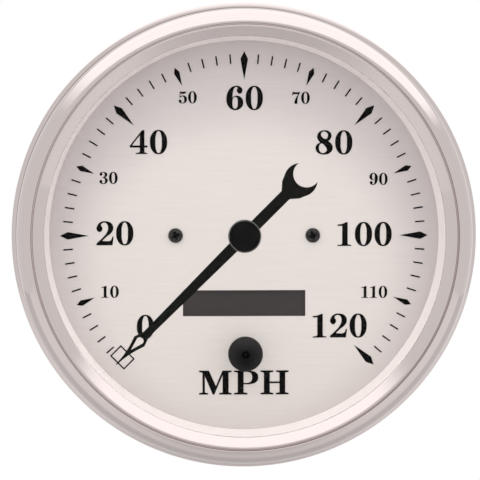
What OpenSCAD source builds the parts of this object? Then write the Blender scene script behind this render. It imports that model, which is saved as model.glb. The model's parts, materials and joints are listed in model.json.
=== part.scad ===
// Five inch electric dash speedometer in millimetres.
// The axis of the instrument is world Y: the dial faces -Y and +Z is up on the dial.
// The origin is on that axis, in the plane where the back of the bezel meets the panel.
// Inside the modules z runs forward out of the dial, x to the right and y up the dial.

/* [Case] */
// Outer radius of the case can
case_r = 62.75; // [60:0.25:66]
// Wall of the drawn case
case_wall = 1; // [0.8:0.1:1.4]
// Depth of the case behind the panel
case_depth = 57; // [53:0.5:66]
// Outer radius of the rear corner of the case
case_corner_r = 2; // [1.8:0.1:4]
// Width of the case flange that the bezel grips
flange_w = 2.75; // [2.5:0.05:4]

/* [Bezel] */
// Sheet of the rolled bezel
bezel_sheet = 0.9; // [0.6:0.1:1.2]
// Thickness of the hem behind the case flange
hem_t = 1; // [0.8:0.1:1.4]
// Reach of the hem behind the case flange
hem_grip = 1.5; // [1:0.1:1.8]
// How far the hem bead stands out past the skirt
bead_out = 1.55; // [1:0.05:2.5]
// Height of the hem bead
bead_h = 2; // [1.8:0.1:3]
// How far the front of the hem bead falls from the skirt to its edge
bead_fall = 0.5; // [0.2:0.1:0.7]
// Edge rounding of the hem bead
bead_round = 0.6; // [0.2:0.1:0.7]
// Outer radius of the front roll
roll_r = 5.6; // [5:0.1:6.2]
// Height of the lens seat above the centre of the front roll
roll_drop = 2.8; // [2.2:0.1:3.2]
// Width of the bezel face from the skirt in to the lip
face_w = 8.2; // [7.8:0.1:9.5]
// Slope of the face inside the groove in degrees
face_slope = 32; // [20:1:36]
// Depth of the face groove
groove_d = 0.3; // [0.1:0.05:0.5]
// Width of the face groove
groove_w = 0.4; // [0.2:0.05:0.5]
// Thickness of the lip edge
lip_t = 0.6; // [0.4:0.1:0.9]

/* [Lens and reflector] */
// Thickness of the lens
lens_t = 2.4; // [2:0.1:3]
// Radial room round the lens
lens_gap = 1; // [0.7:0.1:1.5]
// Thickness of the lens gasket
gasket_t = 0.7; // [0.5:0.1:1.2]
// Width of the lens gasket
gasket_w = 2.4; // [1.8:0.1:2.6]
// Height of the reflector ring from the case flange to the lens
ring_h = 4.2; // [3.6:0.1:5.5]
// Wall of the reflector ring
ring_wall = 1.2; // [0.9:0.1:1.4]
// Width of the reflector that shows inside the lip
ring_show = 1.2; // [0.8:0.1:2.5]

/* [Dial] */
// Thickness of the dial plate
dial_t = 0.8; // [0.6:0.1:1.2]
// Depth of the dial face below the case flange
dial_drop = 1.6; // [1.2:0.1:2.2]
// Radial room round the dial plate
dial_gap = 0.95; // [0.6:0.05:1.5]
// Distance of each dial screw from the centre
post_x = 20.2; // [17:0.1:23]
// Head diameter of a dial screw
dial_screw_head = 4.3; // [3.6:0.1:5]
// Thread diameter of a dial screw
dial_screw_d = 1.9; // [1.6:0.1:2.2]
// Length of a dial screw under its head
dial_screw_l = 7; // [5:0.5:10]

/* [Scale] */
// Highest speed on the scale
speed_max = 120; // [80:20:160]
// Speed from one tick to the next
speed_step = 2; // [2:1:5]
// Angle of the whole scale in degrees
sweep = 270; // [200:5:280]
// Distance from the reflector to the outer tick ends
scale_margin = 4; // [3:0.1:6]
// Length of a tick
tick_l = 2.8; // [2:0.1:4]
// Width of a tick
tick_w = 0.42; // [0.3:0.02:0.7]
// Length of a diamond at a large number
major_l = 8.3; // [6:0.1:10]
// Width of a diamond at a large number
major_w = 2.2; // [1.4:0.1:3]
// Length of a diamond at a small number
minor_l = 5.7; // [4:0.1:8]
// Width of a diamond at a small number
minor_w = 1.7; // [1:0.1:2.4]
// Width of the zero box across the scale
zero_w = 5.8; // [4:0.1:7]
// Length of the zero box along the radius
zero_l = 4.5; // [3:0.1:6]
// Line width of the zero box
zero_line = 0.38; // [0.25:0.01:0.6]
// Thickness of the printed ink
ink_t = 0.08; // [0.04:0.01:0.15]

/* [Pointer] */
// Thickness of the pointer blade
blade_t = 0.7; // [0.5:0.1:1]
// Width of the blade at the hub
blade_root_w = 3.35; // [2.4:0.05:4]
// Width of the blade where the spade begins
blade_end_w = 2.2; // [1.4:0.1:2.4]
// Width of the spade
spade_w = 4.2; // [3.2:0.1:5.4]
// Length of the spade from its shoulder to the tip
spade_l = 12.4; // [9:0.1:16]
// Diameter of the round end of the spade window
window_d = 2.2; // [1.4:0.1:2.6]
// Length of the spade window
window_l = 4.8; // [3:0.1:6]
// Width of the blade tip
tip_w = 0.35; // [0.2:0.05:0.8]
// Distance from the axis to the centre of the tail crescent
tail_l = 23.3; // [18:0.1:28]
// Outer radius of the tail crescent
crescent_r = 4.95; // [4:0.05:7]
// Radius of the bite out of the tail crescent
bite_r = 3.95; // [3:0.05:4.2]
// Distance of the bite's centre past the crescent's centre
bite_shift = 2.45; // [2.2:0.05:3.5]
// Width of the tail at the crescent
tail_w = 3.35; // [2.4:0.05:4]
// Diameter of the hub cap
hub_d = 9.7; // [8:0.1:12]
// Height of the hub cap
hub_h = 1.4; // [1:0.1:1.6]
// Height of the hub cap's rear face above the dial
hub_lift = 3.5; // [3:0.1:3.7]
// Diameter of the hub's boss
boss_d = 4.4; // [3.4:0.1:6]
// Diameter of the spindle
spindle_d = 1.5; // [1.2:0.1:1.8]

/* [Movement] */
// Distance from the back of the dial to the main board
board_drop = 29; // [28:0.5:34]
// Thickness of the movement frame
frame_t = 2; // [1.5:0.1:3]
// Width of the movement frame
frame_w = 24; // [24:0.5:28]
// Diameter of the movement frame's dial posts
post_d = 6; // [5:0.2:8]
// Diameter of the coil bobbin
bobbin_d = 21.2; // [21:0.1:22.4]
// Height of the bobbin core
core_h = 15.6; // [14.6:0.1:16]
// Height of the bobbin legs
leg_h = 3.1; // [2.8:0.1:3.6]
// Bobbin wall between the rotor and the coils
bobbin_wall = 0.9; // [0.6:0.1:1]
// Diameter of the rotor magnet
rotor_d = 11.6; // [10:0.1:11.8]
// Thickness of the rotor magnet
rotor_t = 3.5; // [2.5:0.1:4.2]
// Radial room round the rotor magnet
rotor_gap = 0.4; // [0.3:0.05:0.5]
// Room above and below the rotor magnet
rotor_end_gap = 0.5; // [0.3:0.05:0.8]
// Thickness of a coil
coil_t = 1.6; // [1:0.1:1.7]
// Width of one coil loop
coil_w = 2.4; // [1.6:0.1:2.5]
// Distance from the axis to the near side of a coil loop
coil_off = 2.6; // [2.5:0.1:2.9]
// Diameter of a spindle bearing
bearing_d = 3.6; // [3:0.1:3.8]
// Wall of the magnetic shield
shield_wall = 0.5; // [0.4:0.1:0.8]
// Height of the magnetic shield
shield_h = 21.9; // [21.5:0.1:23]

/* [Boards] */
// Thickness of both circuit boards
board_t = 1.6; // [1.2:0.1:2]
// Distance from the inside of the case to the edge of the main board
board_edge = 7.75; // [4:0.25:10]
// Distance of each hex spacer and mounting stud from the centre
stud_x = 35; // [33:0.5:39]
// Hex spacer size across flats
spacer_af = 8; // [7:0.5:9]
// Distance from the back of the dial to the display board
display_drop = 4.6; // [4.4:0.1:6]
// Width of the display board
display_w = 46; // [44:0.5:50]
// Height of the display window in the dial
window_h = 7.7; // [6:0.1:9]
// Width of the display window in the dial
window_w = 36.1; // [30:0.1:38]
// Distance of the display window below the centre
window_y = 20; // [19.8:0.1:21]
// Thickness of the display glass
lcd_t = 2.2; // [1.8:0.1:2.6]

/* [Trip button] */
// Distance of the button below the centre
button_y = 34; // [33.5:0.1:36]
// Diameter of the button knob
knob_d = 10.2; // [9:0.1:13]
// Height of the button knob
knob_h = 3.2; // [2.8:0.1:5]
// Inward travel of the button
button_travel = 1; // [0.5:0.1:1.2]
// Diameter of the button stem
stem_d = 3.6; // [3:0.1:4]
// Diameter of the bushing body
bushing_d = 7; // [6:0.1:8]
// Height of the push switch
switch_h = 3.5; // [3.2:0.1:3.8]

/* [Lamps] */
// Distance of each lamp to the side of the centre
lamp_x = 27; // [24:0.5:30]
// Distance of each lamp above the centre
lamp_y = 27; // [25:0.5:30]
// Diameter of the lamp socket barrel
socket_d = 13.6; // [13:0.1:15]
// Diameter of the lamp glass
bulb_d = 10; // [9:0.1:11]
// Length of the lamp glass past the socket
bulb_l = 22; // [18:0.5:26]
// Twist that unlocks a lamp socket in degrees
socket_twist = 45; // [30:1:60]

/* [Rear fittings] */
// Thread diameter of a mounting stud
stud_d = 5; // [4.8:0.1:6]
// Free length of a mounting stud past its nut
stud_l = 14; // [8:0.5:30]
// Height of a stud nut
nut_h = 4; // [3:0.1:5]
// Stud nut size across flats
nut_af = 8; // [7.5:0.5:10]
// Distance of the terminal block below the centre
terminal_y = 25; // [24:0.5:28]
// Number of terminal tabs
tab_count = 5; // [3:1:6]
// Distance from one terminal tab to the next
tab_pitch = 6; // [5:0.5:7]
// Width of a terminal tab
tab_w = 6.35; // [4.8:0.05:6.4]
// Thickness of a terminal tab
tab_t = 0.8; // [0.5:0.1:1]
// Free length of a terminal tab
tab_l = 8; // [6:0.5:12]

/* [Hidden] */

// Fits and small clearances shared by several pieces
$fn = 96;
cut = 1;
press_fit = 0.02;
running_fit = 0.04;
screw_fit = 0.05;
loose_fit = 0.25;
flange_gap = 0.3;
slide_gap = 0.05;

// Radii of the case, bezel, lens and reflector
case_in_r = case_r - case_wall;
flange_r = case_r + flange_w;
skirt_in_r = flange_r + flange_gap;
skirt_r = skirt_in_r + bezel_sheet;
bead_r = skirt_r + bead_out;
hem_in_r = flange_r - hem_grip;
lip_r = skirt_r - face_w;
lens_r = skirt_in_r - lens_gap;
gasket_in_r = lip_r + lip_t;
gasket_out_r = gasket_in_r + gasket_w;
ring_edge = 0.9;
ring_out_r = flange_r - ring_edge;
ring_in_r = lip_r - ring_show;
ring_lean = 1.6;
dial_r = case_in_r - dial_gap;

// Heights of the clamped stack from the panel seat forward
flange_z = hem_t + case_wall;
lens_back_z = flange_z + ring_h;
lens_front_z = lens_back_z + lens_t;
lip_z = lens_front_z + gasket_t;
roll_z = lip_z - roll_drop;
dial_z = flange_z - dial_drop;
dial_back_z = dial_z - dial_t;

// Heights behind the dial
board_z = dial_back_z - board_drop;
board_back_z = board_z - board_t;
frame_z = board_z + frame_t;
core_z = frame_z + leg_h;
core_top_z = core_z + core_h;
core_mid_z = core_z + core_h / 2;
display_z = dial_back_z - display_drop;
display_back_z = display_z - board_t;
wall_in_z = case_wall - case_depth;
wall_out_z = -case_depth;

// Case flare that leads from the can wall into the flange
flare_out = 0.6;

// Scale and pointer
zero_angle = 90 + sweep / 2;
step_angle = sweep / speed_max;
scale_r = ring_in_r - scale_margin;
minor_every = 10;
major_every = 20;
major_tip = 0.8;
diamond_wide = 0.27;
zero_edge = 0.3;
spade_curve = 1.9;
spade_points = 14;
shoulder_r = scale_r - spade_l;
spade_wide = 2.8;
window_at = 1.5;
flare_start = 1.27;
flare_mid = [0.83, 0.73];
flare_end = [0.25, 0.92];
hub_z = dial_z + hub_lift;
blade_z = hub_z - blade_t;
boss_h = 2.7;
hub_round = 0.5;
hub_top = 0.7;

// Screws
head_h_share = 0.32;
recess_w = 0.22;
recess_l = 0.62;
recess_d = 0.6;
frame_screw_d = 2.5;
frame_screw_l = 6;
frame_screw_head = 5;
board_screw_d = 3;
board_screw_l = 8;
board_screw_head = 5.6;
display_screw_d = 2;
display_screw_l = 5;
display_screw_head = 3.8;

// Movement
coil_fit = 0.1;
slot_in = coil_off - coil_fit;
slot_out = coil_off + coil_w + coil_fit;
cavity_r = rotor_d / 2 + rotor_gap;
cavity_h = rotor_t + 2 * rotor_end_gap;
core_half_w = cavity_r + bobbin_wall;
coil_half_w = core_half_w + coil_fit;
bearing_lip = 0.5;
bearing_lip_h = 0.6;
pivot_floor = 0.6;
shield_gap = 0.4;
shield_r = bobbin_d / 2 + shield_gap;
shield_hole_r = 3.5;
frame_margin = 1.8;
pin_d = 0.9;
leg_w = bobbin_d / 2 - slot_out;
leg_at = slot_out + leg_w / 2;
pin_edge = 0.7;
pin_at = slot_out + pin_edge + pin_d / 2;
pin_insulation = 0.7;
pin_hold = 2.8;
pin_tail = 0.8;
return_d = 2;
return_l = 4;

// Boards and their parts
board_r = case_in_r - board_edge;
lamp_clear = 4;
chip_w = 10;
chip_h = 1.4;
chip_y = 26;
lead_count = 8;
lead_pitch = 1;
lead_w = 0.45;
lead_l = 1.2;
lead_h = 0.5;
cap_d = 8;
cap_h = 11;
cap_edge = 12;
cap_x = board_r - cap_edge;
cap_y = 14;
regulator_size = [10, 15, 4.5];
regulator_edge = 16;
regulator_at = [board_r - regulator_edge, -20];
crystal_d = 4.6;
crystal_l = 11;
crystal_gap = 5.7;
crystal_y = chip_y + chip_w / 2 + crystal_gap + crystal_d / 2;
spacer_hole_l = 9;
display_spacer_d = 5;
display_spacer_x = 19;
display_spacer_y = 36;
display_top_y = 12.2;
display_low_y = 42;
link_y = 40;
link_pins = 8;
link_pitch = 2.54;
link_pin_w = 0.6;
link_h = 2.5;
link_tail = 0.8;

// Display
lcd_over_w = 3;
lcd_over_h = 2.8;
lcd_w = window_w + 2 * lcd_over_w;
lcd_h = window_h + 2 * lcd_over_h;
holder_wall = 1.4;
holder_fit = 0.1;
strip_w = 1.5;
strip_inset = 0.6;
strip_end = 1;
strip_l = lcd_w - 2 * strip_end;
backlight_w = window_w;
backlight_gap = 0.5;
backlight_h = lcd_h - 2 * (strip_inset + strip_w + backlight_gap);
backlight_t = display_drop - lcd_t;

// Trip button
switch_w = 6;
actuator_step = 0.05;
actuator_d = stem_d - 2 * actuator_step;
actuator_out = 0.9;
actuator_in = 0.7;
actuator_fit = 0.1;
switch_z = display_z + switch_h;
stem_z = switch_z + actuator_out;
bushing_flange_h = 0.6;
bushing_flange_d = 9;
bushing_nut_h = 0.8;
bushing_nut_d = 9.4;
bushing_fit = 0.1;
bushing_front_z = lens_front_z + bushing_flange_h;
bushing_back_z = lens_back_z - bushing_nut_h;
knob_spare = 0.4;
knob_z = bushing_front_z + button_travel + knob_spare;
knob_round = 1.2;
knob_dome = 1.2;
dimple_d = 2.4;
dimple_depth = 0.9;
stem_in_knob = 1.4;
clip_t = 0.6;
clip_d = 6.4;
stem_room = 0.8;
stem_hole_d = stem_d + 2 * stem_room;

// Lamps
socket_fit = 0.15;
socket_flange_d = 19;
socket_flange_h = 2.5;
socket_l = 13;
lug_out = 1.6;
lug_w = 4;
lug_h = 2;
lug_fit = 0.3;
grip_w = 4;
grip_l = 15;
grip_h = 6.5;
bulb_base_in = 0.3;
bulb_base_w = bulb_d - 2 * bulb_base_in;
bulb_base_t = 2.4;
bulb_base_l = 8;

// Rear fittings
thread_depth = 0.4;
stud_core_d = stud_d - 2 * thread_depth;
stud_hold = 8;
stud_chamfer = 0.6;
washer_d = 10;
washer_t = 1;
nut_z = wall_out_z - washer_t - nut_h;
block_end = 4;
block_w = tab_pitch * (tab_count - 1) + 2 * block_end;
block_side = 2.8;
block_h = tab_w + 2 * block_side;
block_fit = 0.2;
block_flange = 4;
block_flange_t = 2;
block_in = 8;
tab_pin_w = 1.2;
tab_pin_tail = 0.8;
rivet_d = 2.4;
rivet_head_d = 4.4;
rivet_head_h = 1;
rivet_off = 2.6;
rivet_x = block_w / 2 + rivet_off;

// Points along an arc from angle a0 to a1
function arc(c, r, a0, a1, n) =
    [for (i = [0 : n]) c + r * [cos(a0 + (a1 - a0) * i / n), sin(a0 + (a1 - a0) * i / n)]];

// Direction of a speed on the dial
function speed_angle(s) = zero_angle - s * step_angle;

// Turns the instrument from its own axis z into the world, with the dial facing -Y
module stand() {
    rotate([90, 0, 0]) children();
}

// A round bar or hole from z0 to z1
module bar(d, z0, z1) {
    translate([0, 0, z0]) cylinder(d = d, h = z1 - z0);
}

// A hexagonal bar from z0 to z1
module hex_bar(af, z0, z1) {
    translate([0, 0, z0]) cylinder(d = af / cos(30), h = z1 - z0, $fn = 6);
}

// A block centred on the axis from z0 to z1
module block(w, h, z0, z1) {
    translate([-w / 2, -h / 2, z0]) cube([w, h, z1 - z0]);
}

// The two places left and right of the centre
module left_right(x, y) {
    for (side = [-1, 1]) translate([side * x, y, 0]) children();
}

// A pan head screw under its seat at z = 0, with a cross recess in its head
module screw(head_d, thread_d, length) {
    head_h = head_d * head_h_share;
    difference() {
        union() {
            bar(thread_d, -length, head_h / 2);
            rotate_extrude() polygon(concat([[0, 0], [head_d / 2, 0]],
                arc([head_d / 2 - head_h / 2, head_h / 2], head_h / 2, 0, 90, 6), [[0, head_h]]));
        }
        for (turn = [0, 90]) rotate([0, 0, turn])
            block(head_d * recess_l, head_d * recess_w, head_h * (1 - recess_d), head_h + cut);
    }
}

// Section of the drawn can with its rear corner, flare and flange
module case_section() {
    corner = case_corner_r - case_wall;
    polygon(concat(
        [[0, wall_out_z]],
        arc([case_r - case_corner_r, wall_out_z + case_corner_r], case_corner_r, -90, 0, 8),
        [[case_r, 0], [case_r + flare_out, hem_t], [flange_r, hem_t],
            [flange_r, flange_z], [case_in_r, flange_z]],
        arc([case_in_r - corner, wall_in_z + corner], corner, 0, -90, 8),
        [[0, wall_in_z]]));
}

// Round hole with two bayonet notches for a lamp socket
module socket_hole() {
    bar(socket_d + 2 * socket_fit, wall_out_z - cut, wall_in_z + cut);
    rotate([0, 0, -socket_twist])
        block(socket_d + 2 * (lug_out + lug_fit), lug_w + 2 * lug_fit, wall_out_z - cut,
            wall_in_z + cut);
}

module case() {
    color("silver") stand() difference() {
        rotate_extrude() case_section();
        left_right(stud_x, 0) bar(stud_core_d + 2 * loose_fit, wall_out_z - cut, wall_in_z + cut);
        left_right(lamp_x, lamp_y) socket_hole();
        translate([0, -terminal_y, 0])
            block(block_w + 2 * block_fit, block_h + 2 * block_fit, wall_out_z - cut, wall_in_z + cut);
        left_right(rivet_x, -terminal_y)
            bar(rivet_d + 2 * screw_fit, wall_out_z - cut, wall_in_z + cut);
    }
}

// Section of the rolled bezel, from the hem round the front roll and groove to the lip
module bezel_section() {
    roll_c = [skirt_r - roll_r, roll_z];
    roll_end = 77;
    inner_end = 70;
    bead_end = 65;
    lip_c = [lip_r + lip_t / 2, lip_z + lip_t / 2];
    lip_top = arc(lip_c, lip_t / 2, 90 + face_slope, 270, 6);
    rim = roll_c + roll_r * [cos(roll_end), sin(roll_end)];
    slope_r = rim[0] - groove_w;
    slope_z = lip_top[0][1] + (slope_r - lip_top[0][0]) * tan(face_slope);
    inner_r = roll_r - bezel_sheet;
    polygon(concat(
        [[hem_in_r, 0]],
        arc([bead_r - bead_round, bead_round], bead_round, -90, 0, 5),
        arc([bead_r - bead_round, bead_h - bead_fall - bead_round], bead_round, 0, bead_end, 4),
        [[skirt_r, bead_h]],
        arc(roll_c, roll_r, 0, roll_end, 14),
        [[slope_r + groove_w / 2, slope_z - groove_d], [slope_r, slope_z]],
        lip_top,
        [[gasket_out_r, lip_z]],
        arc(roll_c, inner_r, inner_end, 0, 10),
        [[skirt_in_r, hem_t], [hem_in_r, hem_t]]));
}

module bezel() {
    color("gainsboro") stand() rotate_extrude() bezel_section();
}

module lens_gasket() {
    color("black") stand() difference() {
        bar(2 * gasket_out_r, lens_front_z, lip_z);
        bar(2 * gasket_in_r, lens_front_z - cut, lip_z + cut);
    }
}

module lens() {
    color("lightcyan", 0.25) stand() difference() {
        bar(2 * lens_r, lens_back_z, lens_front_z);
        translate([0, -button_y, 0])
            bar(bushing_d + 2 * bushing_fit, lens_back_z - cut, lens_front_z + cut);
    }
}

module reflector_ring() {
    top_r = ring_in_r + ring_lean;
    shelf_z = lens_back_z - ring_wall;
    shelf_r = ring_in_r + ring_wall + ring_lean * (shelf_z - dial_z) / (lens_back_z - dial_z);
    color("lightgray") stand() rotate_extrude()
        polygon([[ring_in_r, dial_z], [ring_in_r + ring_wall, dial_z], [shelf_r, shelf_z],
            [ring_out_r - ring_wall, shelf_z], [ring_out_r - ring_wall, flange_z],
            [ring_out_r, flange_z], [ring_out_r, lens_back_z], [top_r, lens_back_z]]);
}

module dial() {
    color("whitesmoke") stand() difference() {
        bar(2 * dial_r, dial_back_z, dial_z);
        bar(boss_d, dial_back_z - cut, dial_z + cut);
        left_right(post_x, 0) bar(dial_screw_d + 2 * loose_fit, dial_back_z - cut, dial_z + cut);
        translate([0, -window_y, 0]) block(window_w, window_h, dial_back_z - cut, dial_z + cut);
        translate([0, -button_y, 0]) bar(stem_hole_d, dial_back_z - cut, dial_z + cut);
    }
}

// A diamond with its outer tip at radius r1, widest near that tip
module diamond(r1, l, w) {
    polygon([[r1, 0], [r1 - l * diamond_wide, w / 2], [r1 - l, 0], [r1 - l * diamond_wide, -w / 2]]);
}

module dial_scale() {
    color("black") stand() translate([0, 0, dial_z]) linear_extrude(ink_t) {
        for (s = [speed_step : speed_step : speed_max]) rotate(speed_angle(s))
            if (s % major_every == 0)
                diamond(scale_r + major_tip, major_l, major_w);
            else if (s % minor_every == 0)
                diamond(scale_r, minor_l, minor_w);
            else
                translate([scale_r - tick_l, -tick_w / 2]) square([tick_l, tick_w]);
        rotate(zero_angle) translate([scale_r - zero_edge - zero_l / 2, 0]) difference() {
            square([zero_l, zero_w], center = true);
            square([zero_l - 2 * zero_line, zero_w - 2 * zero_line], center = true);
        }
    }
}

module dial_screws() {
    color("dimgray") stand() left_right(post_x, 0) translate([0, 0, dial_z])
        screw(dial_screw_head, dial_screw_d, dial_screw_l);
}

// Upper edge of the spade from its shoulder to the tip
function spade_edge() = [for (i = [0 : spade_points]) let (t = i / spade_points)
    [shoulder_r + spade_wide + t * (spade_l - spade_wide),
        tip_w / 2 + (spade_w - tip_w) / 2 * pow(1 - t, spade_curve)]];

// Outline of the hollow spade at the pointed end of the blade
module spade_outline() {
    edge = spade_edge();
    below = [for (i = [spade_points : -1 : 0]) [edge[i][0], -edge[i][1]]];
    window_x = shoulder_r + window_at + window_d / 2;
    difference() {
        polygon(concat([[shoulder_r, -blade_end_w / 2], [shoulder_r, blade_end_w / 2]], edge, below));
        translate([window_x, 0]) circle(d = window_d);
        polygon([[window_x, window_d / 2], [window_x, -window_d / 2],
            [window_x - window_d / 2 + window_l, 0]]);
    }
}

// Outline of the straight part of the blade, from the spade across the axis to the crescent
module shaft_outline() {
    shaft_r = shoulder_r + tip_w;
    tail_r = crescent_r / 2 - tail_l;
    polygon([[0, blade_root_w / 2], [shaft_r, blade_end_w / 2], [shaft_r, -blade_end_w / 2],
        [0, -blade_root_w / 2], [tail_r, -tail_w / 2], [tail_r, tail_w / 2]]);
}

// Outline where the tail widens into the crescent
module flare_outline() {
    edge = [[crescent_r * flare_start - tail_l, tail_w / 2],
        [crescent_r * flare_mid[0] - tail_l, crescent_r * flare_mid[1]],
        [crescent_r * flare_end[0] - tail_l, crescent_r * flare_end[1]]];
    polygon(concat(edge, [for (i = [2 : -1 : 0]) [edge[i][0], -edge[i][1]]]));
}

module pointer_blade() {
    eye_d = boss_d + blade_root_w / 2;
    color("black") stand() rotate([0, 0, zero_angle]) translate([0, 0, blade_z]) difference() {
        union() {
            linear_extrude(blade_t) spade_outline();
            linear_extrude(blade_t) shaft_outline();
            linear_extrude(blade_t) flare_outline();
            translate([-tail_l, 0, 0]) cylinder(r = crescent_r, h = blade_t);
            cylinder(d = eye_d, h = blade_t);
        }
        bar(boss_d + 2 * press_fit, -cut, blade_t + cut);
        translate([-tail_l - bite_shift, 0, 0]) bar(2 * bite_r, -cut, blade_t + cut);
    }
}

module pointer_hub() {
    color("black") stand() difference() {
        union() {
            bar(boss_d, hub_z - boss_h, hub_z + hub_h - hub_top);
            translate([0, 0, hub_z]) rotate_extrude() polygon(concat([[0, 0], [hub_d / 2, 0]],
                arc([hub_d / 2 - hub_round, hub_h - hub_round], hub_round, 0, 90, 6), [[0, hub_h]]));
        }
        bar(spindle_d + 2 * press_fit, hub_z - boss_h - cut, hub_z + hub_h - hub_top);
    }
}

module spindle() {
    color("lightsteelblue") stand()
        bar(spindle_d, core_z + pivot_floor + slide_gap, hub_z + hub_h - hub_top);
}

module rotor_magnet() {
    color("dimgray") stand() difference() {
        bar(rotor_d, core_mid_z - rotor_t / 2, core_mid_z + rotor_t / 2);
        bar(spindle_d + 2 * press_fit, core_mid_z - rotor_t, core_mid_z + rotor_t);
    }
}

// The four corners of the bobbin where its legs and pins are
module four_corners() {
    for (sx = [-1, 1], sy = [-1, 1]) translate([sx * pin_at, sy * pin_at, 0]) children();
}

module movement_frame() {
    frame_l = 2 * (post_x + frame_margin) + post_d;
    color("burlywood") stand() difference() {
        union() {
            block(frame_l, frame_w, board_z, frame_z);
            left_right(post_x, 0) bar(post_d, board_z, dial_back_z);
        }
        left_right(post_x, 0) {
            bar(dial_screw_d + 2 * screw_fit, dial_z - dial_screw_l - cut, dial_back_z + cut);
            bar(frame_screw_d + 2 * screw_fit, board_z - cut,
                board_back_z + frame_screw_l + cut);
        }
        four_corners() bar(pin_d + 2 * pin_insulation, board_z - cut, frame_z + cut);
    }
}

module movement_screws() {
    color("silver") stand() left_right(post_x, 0) translate([0, 0, board_back_z])
        mirror([0, 0, 1]) screw(frame_screw_head, frame_screw_d, frame_screw_l);
}

// The grooves for one coil: two bands beside the spindle, outside a window of the given half sizes
module coil_grooves(half_w, half_h) {
    for (side = [-1, 1]) translate([0, side * (slot_in + slot_out) / 2, 0]) difference() {
        block(bobbin_d + cut, slot_out - slot_in, core_z - cut, core_top_z + cut);
        block(2 * half_w, slot_out, core_mid_z - half_h, core_mid_z + half_h);
    }
}

// The whole moulded bobbin before it is split at the middle of the rotor
module bobbin_body() {
    difference() {
        bar(bobbin_d, core_z, core_top_z);
        coil_grooves(core_half_w, core_h / 2 - coil_t - 2 * coil_fit);
        rotate([0, 0, 90]) coil_grooves(core_half_w, core_h);
        bar(2 * cavity_r, core_mid_z - cavity_h / 2, core_mid_z + cavity_h / 2);
        bar(bearing_d + 2 * press_fit, core_z - cut, core_top_z + cut);
    }
}

// Four legs that stand the bobbin on the movement frame
module bobbin_legs() {
    intersection() {
        bar(bobbin_d, frame_z, core_mid_z);
        for (sx = [-1, 1], sy = [-1, 1]) translate([sx * leg_at, sy * leg_at, 0])
            block(leg_w, leg_w, frame_z, core_mid_z);
    }
}

module bobbin_lower() {
    color("linen") stand() difference() {
        union() {
            bobbin_body();
            bobbin_legs();
        }
        block(bobbin_d + cut, bobbin_d + cut, core_mid_z, core_top_z + cut);
        four_corners() bar(pin_d + 2 * press_fit, frame_z - cut, frame_z + pin_hold + press_fit);
    }
}

module bobbin_upper() {
    color("linen") stand() difference() {
        bobbin_body();
        block(bobbin_d + cut, bobbin_d + cut, core_z - cut, core_mid_z);
        translate([pin_at, pin_at, 0])
            bar(return_d + 2 * press_fit, core_top_z - return_l, core_top_z + cut);
    }
}

// Two rectangular loops beside the spindle whose inside runs round half_w by half_h
module coil(half_w, half_h) {
    for (side = [-1, 1]) translate([0, side * (coil_off + coil_w / 2), 0]) difference() {
        block(2 * (half_w + coil_t), coil_w, core_mid_z - half_h - coil_t,
            core_mid_z + half_h + coil_t);
        block(2 * half_w, coil_w + cut, core_mid_z - half_h, core_mid_z + half_h);
    }
}

module inner_coil() {
    color("peru") stand() coil(coil_half_w, core_h / 2 - coil_t - coil_fit);
}

module outer_coil() {
    color("chocolate") stand() rotate([0, 0, 90]) coil(coil_half_w, core_h / 2 + coil_fit);
}

module upper_bearing() {
    color("goldenrod") stand() difference() {
        union() {
            bar(bearing_d, core_mid_z + cavity_h / 2, core_top_z + bearing_lip_h);
            bar(bearing_d + 2 * bearing_lip, core_top_z, core_top_z + bearing_lip_h);
        }
        bar(spindle_d + 2 * running_fit, core_mid_z, core_top_z + bearing_lip_h + cut);
    }
}

module lower_bearing() {
    color("goldenrod") stand() difference() {
        union() {
            bar(bearing_d, core_z - bearing_lip_h, core_mid_z - cavity_h / 2);
            bar(bearing_d + 2 * bearing_lip, core_z - bearing_lip_h, core_z);
        }
        bar(spindle_d + 2 * running_fit, core_z + pivot_floor, core_mid_z);
    }
}

module magnetic_shield() {
    color("lightslategray") stand() difference() {
        bar(2 * (shield_r + shield_wall), frame_z, frame_z + shield_h);
        bar(2 * shield_r, frame_z - cut, frame_z + shield_h - shield_wall);
        bar(2 * shield_hole_r, frame_z, frame_z + shield_h + cut);
    }
}

module return_magnet() {
    color("dimgray") stand() translate([pin_at, pin_at, 0])
        bar(return_d, core_top_z - return_l, core_top_z);
}

module movement_pins() {
    color("gold") stand() four_corners() bar(pin_d, board_back_z - pin_tail, frame_z + pin_hold);
}

// Places of the terminal tabs from left to right
module tab_places() {
    for (i = [0 : tab_count - 1])
        translate([(i - (tab_count - 1) / 2) * tab_pitch, -terminal_y, 0]) children();
}

// Places of the pins between the two boards
module link_places() {
    for (i = [0 : link_pins - 1])
        translate([(i - (link_pins - 1) / 2) * link_pitch, -link_y, 0]) children();
}

module main_board() {
    color("darkgreen") stand() difference() {
        bar(2 * board_r, board_back_z, board_z);
        left_right(lamp_x, lamp_y) bar(bulb_d + 2 * lamp_clear, board_back_z - cut, board_z + cut);
        left_right(post_x, 0) bar(frame_screw_d + 2 * loose_fit, board_back_z - cut, board_z + cut);
        left_right(stud_x, 0) bar(board_screw_d + 2 * loose_fit, board_back_z - cut, board_z + cut);
        left_right(display_spacer_x, -display_spacer_y)
            bar(display_screw_d + 2 * loose_fit, board_back_z - cut, board_z + cut);
        four_corners() bar(pin_d + 2 * screw_fit, board_back_z - cut, board_z + cut);
        tab_places() block(tab_t + 2 * screw_fit, tab_pin_w + 2 * screw_fit, board_back_z - cut,
            board_z + cut);
        link_places() block(link_pin_w + 2 * screw_fit, link_pin_w + 2 * screw_fit,
            board_back_z - cut, board_z + cut);
    }
}

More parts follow.
